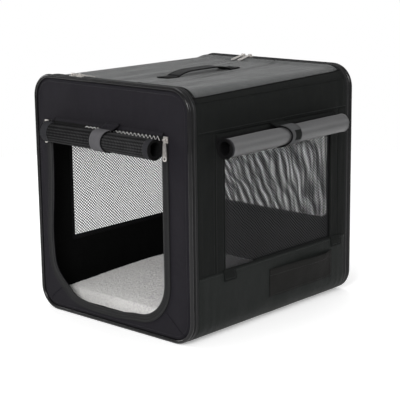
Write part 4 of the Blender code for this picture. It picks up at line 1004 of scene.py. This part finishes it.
def side_net(side, sign):
    def spot(y, z, ridge):
        pull_y, pull_z, sag = net_slack(y, z, -window_clearance(y, z), 31.0 + sign)
        return Vector((sign * (NET_X - sag + ridge), y + pull_y, z + pull_z))

    return diamond_net("side_net_" + side, (WINDOW_FRONT - NET_HEM, WINDOW_BOTTOM - NET_HEM),
                       (WINDOW_REAR + NET_HEM, WINDOW_TOP + NET_HEM), NET_HOLE_SHARES[side], spot)


def rear_net():
    half = REAR_WINDOW_HALF_WIDTH

    def spot(x, z, ridge):
        clear = min(half - abs(x), z - REAR_WINDOW_BOTTOM, WINDOW_TOP - z)
        pull_x, pull_z, sag = net_slack(x, z, clear, 37.0)
        return Vector((x + pull_x, REAR_NET_Y - 0.3 * sag + ridge, z + pull_z))

    return diamond_net("rear_net", (-half - NET_HEM, REAR_WINDOW_BOTTOM - NET_HEM),
                       (half + NET_HEM, WINDOW_TOP + NET_HEM), NET_HOLE_SHARES["rear"], spot)


# Rolled door and flaps, with their straps; a place is (along the roll, away from the wall, up)

def on_side(sign):
    def spot(along, away, up):
        share = (along - FLAP_ROLL_FRONT) / (FLAP_ROLL_REAR - FLAP_ROLL_FRONT)
        rise = FLAP_ROLL_RISE * share * fade(away - ROLL_WALL_GAP, 0.006)
        return Vector((sign * (SKIN_HALF_WIDTH + away), along, FLAP_ROLL_HEIGHT + up + rise))

    return spot


def on_rear_panel(along, away, up):
    return Vector((along, PANEL_FRONT_Y + away, FLAP_ROLL_HEIGHT + up))


def on_front_panel(along, away, up):
    """The rolled door hangs a little lower and tighter towards its right end; its tail stays level."""
    share = (along - DOOR_ROLL_LEFT) / (DOOR_ROLL_RIGHT - DOOR_ROLL_LEFT)
    slack = share * fade(away - ROLL_WALL_GAP, 0.006)
    return Vector((along, -(PANEL_FRONT_Y + away),
                   DOOR_ROLL_HEIGHT + up * (1 - DOOR_ROLL_SHRINK * slack) - DOOR_ROLL_DROP * slack))


def path_length(path):
    return sum(math.dist(a, b) for a, b in zip(path, path[1:]))


def roll_squeeze(along, strap_middle):
    """The roll is pinched a little where its strap holds it."""
    return 1 - SQUEEZE_DEPTH * bell(along, strap_middle, SQUEEZE_WIDTH)


def roll_path(radius, squeeze, waver):
    """A sheet's line (away, up) down off its seam and round into a roll."""
    half = THIN_FABRIC / 2
    path = [(TOUCH_GAP + half, ROLL_TAIL), (ROLL_WALL_GAP + half, ROLL_TAIL_BEND),
            (ROLL_WALL_GAP + half, ROLL_TAIL_BEND / 2)]
    for step in range(int(ROLL_TURNS * ROLL_STEPS_A_TURN) + 1):
        turned = step / ROLL_STEPS_A_TURN
        angle = math.pi + 2 * math.pi * turned
        wave = waver * math.sin(3 * angle + 40 * waver)
        reach = (radius - half) * squeeze - ROLL_LAYER_PITCH * turned + wave
        path.append((ROLL_WALL_GAP + radius + reach * math.cos(angle), reach * math.sin(angle)))
    return path


def rolled_sheet(name, radius, stations, strap_middle, spot, materials, seed, edges, ribs=(0.0,)):
    """A sheet rolled up under its seam; edges are the widths of its tapes at the low and high end.

    The materials are those of the sheet, of its edge tapes and of its top, next to the seam; the strip from
    the seam down to the roll and the roll's inner turns are painted near black, as shade."""
    rows = []
    taped = [along - stations[0] < edges[0] + 1e-6 or stations[-1] - along < edges[1] + 1e-6
             for along in stations]
    for k, along in enumerate(stations):
        waver = 0.0005 * ripple(along, 0.0, 0.05, 1.0, seed)
        reach = radius + (0.0005 if taped[k] else ribs[k % len(ribs)])
        path = roll_path(reach, roll_squeeze(along, strap_middle), waver)
        rows.append([spot(along, away, up) for away, up in path])

    def slot(i, j):
        if j == 0:
            return 2
        # Near-black cloth on the strip down from the seam and on the inner turns: painted shade above the
        # roll and in its hollow
        if j < 3 or j > ROLL_STEPS_A_TURN + 1:
            return 3
        return 1 if taped[i] and taped[i + 1] else 0

    shape, edging = Shape(), Shape()
    shape.grid(rows, slot=slot)
    item = thicken(shape.piece(name, [*materials, BINDING_AND_SHADE_CLOTH]), THIN_FABRIC, 0.0)
    for row in (rows[0], rows[-1]):
        edging.tube(row, ROLL_BINDING_RADIUS)
    return item, edging.piece(name + "_binding", BINDING_AND_SHADE_CLOTH), path_length(path)


def flap_roll(name, low, high, strap_middle, spot, seed):
    return rolled_sheet(name, FLAP_ROLL_RADIUS, steps(low, high, ROLL_SPACING), strap_middle, spot,
                        [LINING, FLAP_EDGE, SIDE_CLOTH], seed, (FLAP_EDGE_WIDTH, FLAP_EDGE_WIDTH / 2))


def door_roll():
    """The rolled net door: its courses show as fine ribs round the roll."""
    # The wider right hem, in the lighter tape, is a painted highlight
    return rolled_sheet("rolled_door", DOOR_ROLL_RADIUS - 0.0005,
                        steps(DOOR_ROLL_LEFT, DOOR_ROLL_RIGHT, ROLL_RIB_PITCH / 3),
                        (DOOR_STRAP_LEFT + DOOR_STRAP_RIGHT) / 2, on_front_panel,
                        [ROLL_NET, DOOR_EDGE_AND_HIGHLIGHT, FRONT_CLOTH], 51.0, (DOOR_HEM_LEFT, DOOR_HEM_AND_HIGHLIGHT_RIGHT),
                        (0.0005, -0.0002, -0.0005))


def strap_path(radius, squeeze):
    """A strap (away, up) from its sewn top end, over the roll, round under it and up behind it."""
    half = THIN_FABRIC / 2
    reach = radius * squeeze + TOUCH_GAP + half + 0.0004
    sewn_low = ROLL_TAIL + TOUCH_GAP + THIN_FABRIC
    path = [(TOUCH_GAP + half, sewn_low + STRAP_SEWN_LENGTH * (1 - k / (STRAP_SEWN_ROWS - 1)))
            for k in range(STRAP_SEWN_ROWS)]
    return path + arc((ROLL_WALL_GAP + radius, 0), reach, STRAP_START, STRAP_END, STRAP_TURN_ROWS)


def strap_rows(path, low, high, low_bow, high_bow):
    """A strap's points, its edges bowed by the given lengths half-way round."""
    rows = []
    for k, (away, up) in enumerate(path):
        share = min(max((k - STRAP_SEWN_ROWS + 2) / (len(path) - STRAP_SEWN_ROWS), 0.0), 1.0)
        bow = math.sin(math.pi * share) ** 1.3
        start, end = low + low_bow * bow, high + high_bow * bow
        rows.append([(start + (end - start) * s / STRAP_SPANS, away, up) for s in range(STRAP_SPANS + 1)])
    return rows


def strap(name, radius, edges, bows, spot, materials, patch=(0, 0)):
    """A strap round a roll: its edges at the top, how they bow, and the materials of band and top tab.

    A hook patch in the tab's material covers the rows between the two of patch, from the middle on."""
    path = strap_path(radius, roll_squeeze(0.0, 0.0))
    flat = strap_rows(path, *edges, *bows)
    rows = [[spot(*point) for point in row] for row in flat]
    width = max(row[-1][0] for row in flat) - min(row[0][0] for row in flat)
    length = path_length(path)
    area = length * sum(row[-1][0] - row[0][0] for row in flat) / len(flat)
    shape, binding = Shape(), Shape()
    shape.grid(rows, slot=lambda i, j: 1 if i < STRAP_SEWN_ROWS or patch[0] <= i < patch[1] and j > 2 else 0)
    item = thicken(shape.piece(name, materials), THIN_FABRIC, 0.0)
    for edge, bow in zip((0, STRAP_SPANS), bows):
        girth = BOW_BINDING_RADIUS if bow == FLAP_STRAP_BOWS[0] else STRAP_BINDING_RADIUS
        binding.tube([row[edge] for row in rows], girth)
    return item, binding.piece(name + "_binding", BINDING_AND_SHADE_CLOTH), (width, length), area


def flap_strap(name, low, high, spot, tab_cloth):
    return strap(name, FLAP_ROLL_RADIUS, (low, high), FLAP_STRAP_BOWS, spot, [FLAP_STRAP_CLOTH, tab_cloth],
                 HOOK_PATCH_ROWS)


# Roof and handle

def roof_seam_x(y):
    return ROOF_SEAM_REAR_X + ROOF_SEAM_SLANT * max(ROOF_SEAM_BEND_Y - y, 0.0)


def roof_dip(y):
    """The roof drops from its level hems at the zips to the level of the bars."""
    return ROOF_DIP * fade(ROOF_HEM_Y - abs(y), ROOF_HEM_Y - PIVOT_Y)


def roof_level(x, y):
    """Height of the roof cloth, which sags between the hoops and ripples along its length."""
    beside_handle = max(abs(x) - HANDLE_HALF_WIDTH, 0.0)
    across = min(beside_handle / (ROOF_SAG_HALF_WIDTH - HANDLE_HALF_WIDTH), 1.0)
    along = min(abs(y) / WALL_END_Y, 1.0)
    height = SKIN_TOP - roof_dip(y) - ROOF_SAG * (1 - across ** 2) ** 2 * (1 - along ** 2)
    free = fade(WALL_END_Y - abs(y), 0.05) * (0.25 + 0.75 * fade(beside_handle, 0.02))
    waves = ripples(x, y + 0.6 * x, (0.0028, 0.024, 0.16, 81.0), (0.0012, 0.011, 0.07, 82.0))
    return height + free * (waves - 0.0004)


def corner_seam_angle(y):
    """Where the roof cloth meets the dark side cloth, as an angle on the corner arc."""
    return math.radians(CORNER_SEAM_DEGREES + CORNER_SEAM_DEGREES_A_METRE * y)


def corner_point(sign, y, angle, lift=0.0):
    dip = roof_dip(y) * (angle - ROOF_SEAM_ANGLE) / (math.pi / 2 - ROOF_SEAM_ANGLE)
    reach = SKIN_RADIUS + lift
    return Vector((sign * (CORNER_X + reach * math.cos(angle)), y, CORNER_Z + reach * math.sin(angle) - dip))


def roof_profile(y):
    """Points across the roof at one y, from the left wall to the right one."""
    middle = corner_seam_angle(y)
    angles = [ROOF_SEAM_ANGLE + (middle - ROOF_SEAM_ANGLE) * k / CORNER_STEPS for k in range(CORNER_STEPS)]
    upper = CORNER_SPANS - CORNER_STEPS
    angles += [middle + (math.pi / 2 - middle) * k / upper for k in range(upper + 1)]
    seam = roof_seam_x(y)
    flats = [-CORNER_X + 2 * CORNER_X * k / ROOF_FLAT_SPANS for k in range(1, ROOF_FLAT_SPANS)]
    nearest = min(range(len(flats)), key=lambda k: abs(flats[k] - ROOF_SEAM_STOP))
    ridge = {-1: -0.0004, 0: 0.0010, 1: 0.0002}
    places = []
    for k, x in enumerate(flats):
        shift = k - nearest
        if abs(shift) <= 1:
            x = seam + 0.0013 * shift
        elif abs(shift) < 8:
            x += (seam - flats[nearest]) * (1 - abs(shift) / 8)
        places.append(Vector((x, y, roof_level(x, y) + ridge.get(shift, 0.0))))
    return ([corner_point(-1, y, angle) for angle in angles] + places
            + [corner_point(1, y, angle) for angle in reversed(angles)])


def roof_piece(name, stations, rows, normals):
    """One length of the roof cloth, with the normals that the whole cloth has there."""
    across = len(rows[0])
    rings, looks = [], []
    for row, ups in zip(rows, normals):
        rings.append(row + [p - n * WALL_THICKNESS for p, n in zip(row, ups)][::-1])
        looks += ups + [-n for n in ups][::-1]

    def slot(i, j):
        """The inside, the rims, and the corners and the top outside."""
        if j >= across:
            return 1
        if min(abs(stations[i]), abs(stations[i + 1])) > ROOF_RIM_Y - 1e-6:
            return 2
        return 3 if min(j, across - 2 - j) < CORNER_STEPS else 0

    part = Shape()
    ids = part.grid(rings, around=True, slot=slot)
    for ring in (ids[0], ids[-1][::-1]):
        for j in range(across - 1):
            part.face((ring[j], ring[j + 1], ring[-2 - j], ring[-1 - j]))
    item = face_outwards(part.piece(name, [ROOF_CLOTH, SHADED_INNER_CLOTH, BINDING_AND_SHADE_CLOTH, SIDE_CLOTH]))
    item.data.normals_split_custom_set_from_vertices(looks)
    return item


def roof_pieces():
    """The roof cloth in three lengths, each over one joint of the folding roof."""
    stations = stops((-WALL_END_Y, -ROOF_RIM_Y, -ROOF_PART_Y, ROOF_PART_Y, ROOF_RIM_Y, WALL_END_Y),
                     ROOF_SPACING)
    rows = [roof_profile(y) for y in stations]
    whole = Shape()
    whole.grid(rows)
    sheet = face_outwards(whole.piece("roof_whole", ROOF_CLOTH))
    flat = [vert.normal.copy() for vert in sheet.data.vertices]
    bpy.data.objects.remove(sheet)
    across = len(rows[0])
    normals = [flat[k * across:(k + 1) * across] for k in range(len(rows))]
    parts = []
    for name, low, high in (("front", -WALL_END_Y, -ROOF_PART_Y), ("middle", -ROOF_PART_Y, ROOF_PART_Y),
                            ("rear", ROOF_PART_Y, WALL_END_Y)):
        chosen = [k for k, y in enumerate(stations) if low - 1e-6 <= y <= high + 1e-6]
        span = slice(chosen[0], chosen[-1] + 1)
        parts.append(roof_piece("roof_cloth_" + name, stations[span], rows[span], normals[span]))
    return parts


def roof_seam(name, low, high):
    """The roof's seams from one y to another: the lengthwise one and those to the side cloth."""
    shape = Shape()
    stations = steps(low, high, ROOF_SPACING)
    path = [Vector((roof_seam_x(y) - 0.0016, y, roof_level(roof_seam_x(y), y) - 0.0002)) for y in stations]
    shape.tube(path, FINE_WELT_RADIUS)
    shape.stitches([p + Vector((0.0036, 0, 0.0008)) for p in path], Z_AXIS)
    for sign in SIDES.values():
        shape.tube([corner_point(sign, y, corner_seam_angle(y), 0.0001) for y in stations], WELT_RADIUS)
        shape.stitches([corner_point(sign, y, corner_seam_angle(y) + 0.09, 0.0002) for y in stations],
                       Vector((sign, 0, 1)).normalized())
    return shape.piece("roof_seam_" + name, [BINDING_AND_SHADE_CLOTH, DARK_THREAD])


def handle_path():
    """The handle's middle line as (y, z), sewn down at both ends."""
    arch_front, arch_rear = HANDLE_FRONT + HANDLE_SEWN_LENGTH, HANDLE_REAR - HANDLE_SEWN_LENGTH
    path = []
    for y in stops((HANDLE_FRONT, arch_front, arch_rear, HANDLE_REAR), 0.004):
        share = min(max((y - arch_front) / (arch_rear - arch_front), 0.0), 1.0)
        arch = HANDLE_LIFT * (1 - (2 * share - 1) ** 4)
        path.append((y, roof_level(0.0, y) + TOUCH_GAP + HANDLE_THICKNESS / 2 + arch))
    return path


def handle_pieces():
    """The handle's web, and its edge welts with the cover of each sewn end."""
    shape, ends = Shape(), Shape()
    path = handle_path()
    shares = [-1 + 2 * k / 10 for k in range(11)]
    shape.grid([[(HANDLE_HALF_WIDTH * s, y, z - 0.0005 * s ** 4) for s in shares] for y, z in path])
    web = thicken(face_outwards(shape.piece("handle_web", HANDLE_CLOTH)), HANDLE_THICKNESS, 0.0)
    for edge in (-HANDLE_HALF_WIDTH, HANDLE_HALF_WIDTH):
        ends.tube([Vector((edge, y, z)) for y, z in path], 0.0011)
    for end in (HANDLE_FRONT, HANDLE_REAR):
        add_handle_end(ends, [p for p in path if abs(p[0] - end) < HANDLE_COVER_LENGTH], shares)
    return web, ends.piece("handle_ends", [BINDING_AND_SHADE_CLOTH, DARK_THREAD])


def add_handle_end(shape, near, shares):
    """The folded cover over a sewn end of the handle, stitched round and across."""
    lift = HANDLE_THICKNESS / 2 + 0.0004
    half = HANDLE_HALF_WIDTH + 0.0012
    shape.grid([[(half * s, y, z + lift - 0.0011 * s ** 6) for s in shares] for y, z in near])
    rim = [(s, near[0], 0.0006) for s in shares] + [(1, place, 0.0012) for place in near[1:]]
    rim += [(s, near[-1], 0.0006) for s in shares[-2::-1]] + [(-1, place, 0.0012) for place in near[-2:0:-1]]
    shape.tube([Vector((half * s, y, z + lift - drop)) for s, (y, z), drop in rim], FINE_WELT_RADIUS,
               closed=True)
    first, last = near[1], near[-2]
    round_and_across = ((-1, first), (1, first), (1, last), (-1, last), (-1, first), (1, last), (-1, last),
                        (1, first))
    shape.stitches([Vector(((half - 0.003) * s, y, z + lift + 0.0001)) for s, (y, z) in round_and_across],
                   Z_AXIS)


# Mat

def mat_piece():
    """Fleece mat: a slab swelled by cloth simulation, then roughened into pile."""
    half_x, half_y = MAT_HALF_X - MAT_GROWTH, MAT_HALF_Y - MAT_GROWTH
    low, high = MAT_BOTTOM + 0.0008, MAT_BOTTOM + MAT_THICKNESS - 0.0065
    rim_radius, rim_drop = 0.012, 0.004
    outline = rounded(-half_x, half_x, -half_y, half_y, rim_radius, rim_radius, 6)
    shape = Shape()
    shape.grid([[(x * spread, y * spread, level) for x, y in outline] for spread, level in (
        (0.0, low), (0.5, low), (0.96, low), (1.0, low + rim_drop), (1.0, high - rim_drop),
        (0.96, high), (0.5, high), (0.0, high))], around=True)
    item = shape.piece("fleece_mat", FLEECE)
    remesh = item.modifiers.new("Remesh", "REMESH")
    remesh.mode = "VOXEL"
    remesh.voxel_size = MAT_VOXEL
    bake(item)
    rest = [vert.co.copy() for vert in item.data.vertices]
    swell(item)
    for vert, start in zip(item.data.vertices, rest):
        move = vert.co - start
        if move.length > MAT_MOVE_LIMIT:
            vert.co = start + move.normalized() * MAT_MOVE_LIMIT
    divide = item.modifiers.new("Divide", "SUBSURF")
    divide.levels = divide.render_levels = 1
    bake(item)
    shape_mat(item.data)
    item.data.materials.clear()
    item.data.materials.append(FLEECE)
    item.data.shade_smooth()
    return item


def swell(item):
    """Inflate the slab as a cushion and keep the result."""
    scene = bpy.context.scene
    cloth = item.modifiers.new("Cloth", "CLOTH")
    settings = cloth.settings
    settings.use_pressure = True
    settings.uniform_pressure_force = MAT_PRESSURE
    settings.effector_weights.gravity = 0.0
    settings.quality = 6
    settings.mass = MAT_MASS
    cloth.point_cache.frame_start = 1
    cloth.point_cache.frame_end = MAT_FRAMES
    for number in range(1, MAT_FRAMES + 1):
        scene.frame_set(number)
    bake(item)
    scene.frame_set(1)


def shape_mat(mesh):
    """Fit the cushion between its board and the hoops, add its tufts and hang its ends over the board."""
    spots = [vert.co.copy() for vert in mesh.vertices]
    looks = [vert.normal.copy() for vert in mesh.vertices]
    half_x, half_y = max(abs(p.x) for p in spots), max(abs(p.y) for p in spots)
    low, high = min(p.z for p in spots), max(p.z for p in spots)
    for vert, spot, look in zip(mesh.vertices, spots, looks):
        place = Vector((spot.x * MAT_HALF_X / half_x, spot.y * MAT_HALF_Y / half_y, 0))
        share = (spot.z - low) / (high - low)
        end = abs(place.y)
        place.z = MAT_BOTTOM + share * (MAT_THICKNESS - MAT_END_SLOPE * fade(end - 0.03, 0.13)
                                        + 0.0022 * fade(place.y + 0.06, 0.12))
        limit = mat_reach(place.z)
        end += (limit - MAT_HALF_Y) * fade(end - 0.11, 0.045)
        lower = fade(0.85 - share, 0.45)
        end += (limit - end) * fade(abs(place.y) - 0.146, 0.010) * lower
        hang = max(place.z - MAT_LIP_BOTTOM - share * 0.014, 0.0)
        place.z -= hang * lower * fade(end - 0.1665, 0.003)
        place.y = math.copysign(end, place.y)
        tuft = 0.0009 * noise.noise(place / 0.0055) + 0.0005 * noise.noise(place / 0.0026)
        vert.co = place + look * tuft * fade(share - 0.15, 0.3)


def mat_reach(z):
    """How far the mat's ends reach at a height, so that they clear the hoops as the floor folds."""
    for (low, near), (high, far) in zip(MAT_REACH, MAT_REACH[1:]):
        if z <= high:
            return near + (far - near) * max(z - low, 0.0) / (high - low)
    return MAT_REACH[-1][1]


# Stage and light

def make_floor():
    floor = Shape()
    floor.face([floor.point((*spot, 0.0)) for spot in arc((0, 0), FLOOR_RADIUS, 0, 2 * math.pi, 64)[:-1]])
    look = Shading("floor_white", 0.9, specular=0.1)
    rays = look.add("LightPath").outputs
    seen = look.mix((rays["Is Camera Ray"], FLOOR_GLOW), (rays["Is Glossy Ray"], FLOOR_GLOW),
                    (rays["Is Transmission Ray"], FLOOR_GLOW))
    look.shade({"Base Color": (0.97, 0.97, 0.97, 1), "Emission Color": (1, 1, 1, 1),
                "Emission Strength": seen})
    face_outwards(floor.piece("floor", look.material), (0, 0, -1))


def make_world():
    """White where the camera sees it, directly or through a pane, and plain dim light elsewhere."""
    world = bpy.context.scene.world or bpy.data.worlds.new("world")
    bpy.context.scene.world = world
    world.use_nodes = True
    world.node_tree.nodes.clear()
    sky = Nodes(world.node_tree)
    rays = sky.add("LightPath").outputs
    seen = sky.math("MAXIMUM", rays["Is Camera Ray"], rays["Is Transmission Ray"])
    background = sky.add("Background", {"Color": (1, 1, 1, 1), "Strength": sky.spread(seen, 0.42, 1.0)})
    sky.add("OutputWorld", {"Surface": background.outputs["Background"]})


def add_lamp(name, place, target, size, power):
    lamp = bpy.data.objects.new(name, bpy.data.lights.new(name, "AREA"))
    lamp.data.shape = "DISK"
    lamp.data.size = size
    lamp.data.energy = power
    lamp.location = place
    lamp.rotation_euler = (Vector(target) - Vector(place)).to_track_quat("-Z", "Y").to_euler()
    bpy.context.scene.collection.objects.link(lamp)


def light_scene():
    add_lamp("top_light", (-0.3, 0.4, 2.4), (0, 0, 0.2), 1.4, 14)
    add_lamp("front_light", (1.1, -2.1, 1.25), (0, -0.1, 0.1), 0.8, 40)
    add_lamp("left_light", (-2.2, -0.9, 1.0), (0, 0, 0.2), 1.0, 19)
    add_lamp("right_light", (1.5, 1.1, 1.0), (0.1, 0.1, 0.1), 0.8, 7)
    bpy.context.scene.view_settings.view_transform = "Standard"


# Attaching; each way of attaching takes the name of the pieces' finish slot, which is not used, and the
# pieces

def ride(body):
    """The pieces move with one body."""
    def attach(slot, *pieces):
        for piece in pieces:
            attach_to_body(piece, body)

    return attach


def crumple(slot, *pieces):
    """Side and bottom cloth: it stays with the rear end, each piece with a mesh of its own."""
    ride("rear_end")(slot, *pieces)
    for piece in pieces:
        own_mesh(piece)


def bend():
    """The pieces stay in place, their transforms baked into their meshes."""
    def attach(slot, *pieces):
        for piece in pieces:
            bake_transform(piece)

    return attach


def dress(attach, slot, sheet, nodes, flat, sewn_on=(), area=None):
    attach(slot, sheet, *sewn_on)
    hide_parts(*nodes)


def dress_ends():
    width, height = 2 * (HALF_WIDTH - PANEL_INSET), HEIGHT - 2 * PANEL_INSET
    door = (DOOR_RIGHT - DOOR_LEFT) * (DOOR_TOP - DOOR_BOTTOM)
    window = 2 * REAR_WINDOW_HALF_WIDTH * (WINDOW_TOP - REAR_WINDOW_BOTTOM)
    for end, sign, cloth, seams, slot, opening in (
            ("front", -1, front_cloth(), front_seams(), "front_cloth", door),
            ("rear", 1, rear_cloth(), rear_seams(), "black_cloth", window)):
        attach = ride(end + "_end")
        dress(attach, slot, cloth, [end + "_panel"], (width, height), [seams],
              width * height - opening)
        cord, tape = piping_loop(end, sign), zip_round_end(end, sign)
        attach("piping", cord)
        attach("zip_tape", tape)
        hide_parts(end + "_piping")
        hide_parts(end + "_zip")
    tape = door_zip_tape()
    ride("front_end")("zip_tape", tape)
    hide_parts("door_zip")


def dress_net(attach, net, node, width, height, share):
    flat = (width + 2 * NET_HEM, height + 2 * NET_HEM)
    dress(attach, "net", net, [node], flat, area=flat[0] * flat[1] * (1 - share ** 2))


def dress_roll(attach, slot, rolled, band_parts, node, strap_node, width):
    """Attach a rolled sheet with its strap, and hide the CAD parts they replace."""
    roll, edging, length = rolled
    web, binding, web_flat, web_area = band_parts
    dress(attach, slot, roll, [node], (width, length), [edging])
    dress(attach, "strap_cloth", web, [strap_node], web_flat, [binding], web_area)


def dress_door():
    band_parts = strap("door_strap_web", DOOR_ROLL_RADIUS, (DOOR_STRAP_LEFT, DOOR_STRAP_RIGHT),
                       DOOR_STRAP_BOWS, on_front_panel, [DOOR_STRAP_CLOTH, FRONT_CLOTH])
    dress_roll(ride("front_end"), "net", door_roll(), band_parts, "door_roll", "door_strap",
               DOOR_ROLL_RIGHT - DOOR_ROLL_LEFT)


def dress_rear_window():
    attach = ride("rear_end")
    dress_net(attach, rear_net(), "rear_mesh", 2 * REAR_WINDOW_HALF_WIDTH,
              WINDOW_TOP - REAR_WINDOW_BOTTOM, NET_HOLE_SHARES["rear"])
    half, strap_half = REAR_ROLL_HALF_WIDTH, REAR_STRAP_HALF_WIDTH
    dress_roll(attach, "lining_cloth", flap_roll("rolled_flap_rear", -half, half, 0.0, on_rear_panel, 44.0),
               flap_strap("flap_strap_web_rear", -strap_half, strap_half, on_rear_panel, REAR_CLOTH),
               "rear_flap_roll", "rear_flap_strap", 2 * half)


def dress_side(side, sign):
    wall, seams = side_cloth(side, sign), side_seams(side, sign)
    width, height = 2 * WALL_END_Y, WALL_HIGH - WALL_LOW
    window_width, window_height = WINDOW_REAR - WINDOW_FRONT, WINDOW_TOP - WINDOW_BOTTOM
    dress(crumple, "black_cloth", wall, ["side_wall_" + side], (width, height),
          [seams], width * height - window_width * window_height)
    dress_net(crumple, side_net(side, sign), "side_mesh_" + side, window_width, window_height,
              NET_HOLE_SHARES[side])
    rolled = flap_roll("rolled_flap_" + side, FLAP_ROLL_FRONT, FLAP_ROLL_REAR,
                       (FLAP_STRAP_FRONT + FLAP_STRAP_REAR) / 2, on_side(sign), 41.0 + sign)
    band_parts = flap_strap("flap_strap_web_" + side, FLAP_STRAP_FRONT, FLAP_STRAP_REAR, on_side(sign),
                            SIDE_CLOTH)
    dress_roll(crumple, "lining_cloth", rolled, band_parts, "flap_roll_" + side,
               "flap_strap_" + side, FLAP_ROLL_REAR - FLAP_ROLL_FRONT)


def dress_pocket_and_bottom():
    bag, trim = pocket()
    dress(crumple, "black_cloth", bag, ["side_pocket"],
          (POCKET_REAR - POCKET_FRONT, POCKET_TOP - POCKET_BOTTOM), [trim])
    dress(crumple, "black_cloth", bottom_cloth(), ["bottom_skin"], (2 * CORNER_X, 2 * WALL_END_Y))


def dress_roof():
    """The roof cloth in three lengths with their seams, and the handle with its ends, in place of their CAD
    parts.
    """
    front, middle, rear = roof_pieces()
    web, ends = handle_pieces()
    at_front = bend()
    at_crease = bend()
    at_rear = bend()
    across = 2 * CORNER_X + 2 * SKIN_RADIUS * (math.pi / 2 - ROOF_SEAM_ANGLE)
    part, end = ROOF_PART_Y, WALL_END_Y
    for name, cloth, attach, low, high, nodes in (
            ("front", front, at_front, -end, -part, ["roof_edge_front"]),
            ("middle", middle, at_crease, -part, part, ["roof_panel_rear", "roof_panel_front"]),
            ("rear", rear, at_rear, part, end, ["roof_edge_rear"])):
        dress(attach, "black_cloth", cloth, nodes, (across, high - low),
              [roof_seam(name, low, high)])
    dress(at_crease, "strap_cloth", web, ["handle"],
          (2 * HANDLE_HALF_WIDTH, HANDLE_REAR - HANDLE_FRONT + 0.004), [ends])


def dress_mat():
    mat = mat_piece()
    bend()("fleece", mat)
    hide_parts("mat")


def finish_frame():
    """Procedural finishes for the CAD pieces that stay."""
    finishes = {"hoop": STEEL, "bar": STEEL, "pin": STEEL, "board": BOARD, "button": BUTTON,
                "slider": ZIP_METAL, "pull": ZIP_METAL}
    for name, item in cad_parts.items():
        for word, material in finishes.items():
            if word in name.split("_"):
                item.data.materials.clear()
                item.data.materials.append(material)


place_camera()
make_floor()
make_world()
light_scene()
dress_ends()
dress_door()
dress_rear_window()
for side_name, side_sign in SIDES.items():
    dress_side(side_name, side_sign)
dress_pocket_and_bottom()
dress_roof()
dress_mat()
finish_frame()
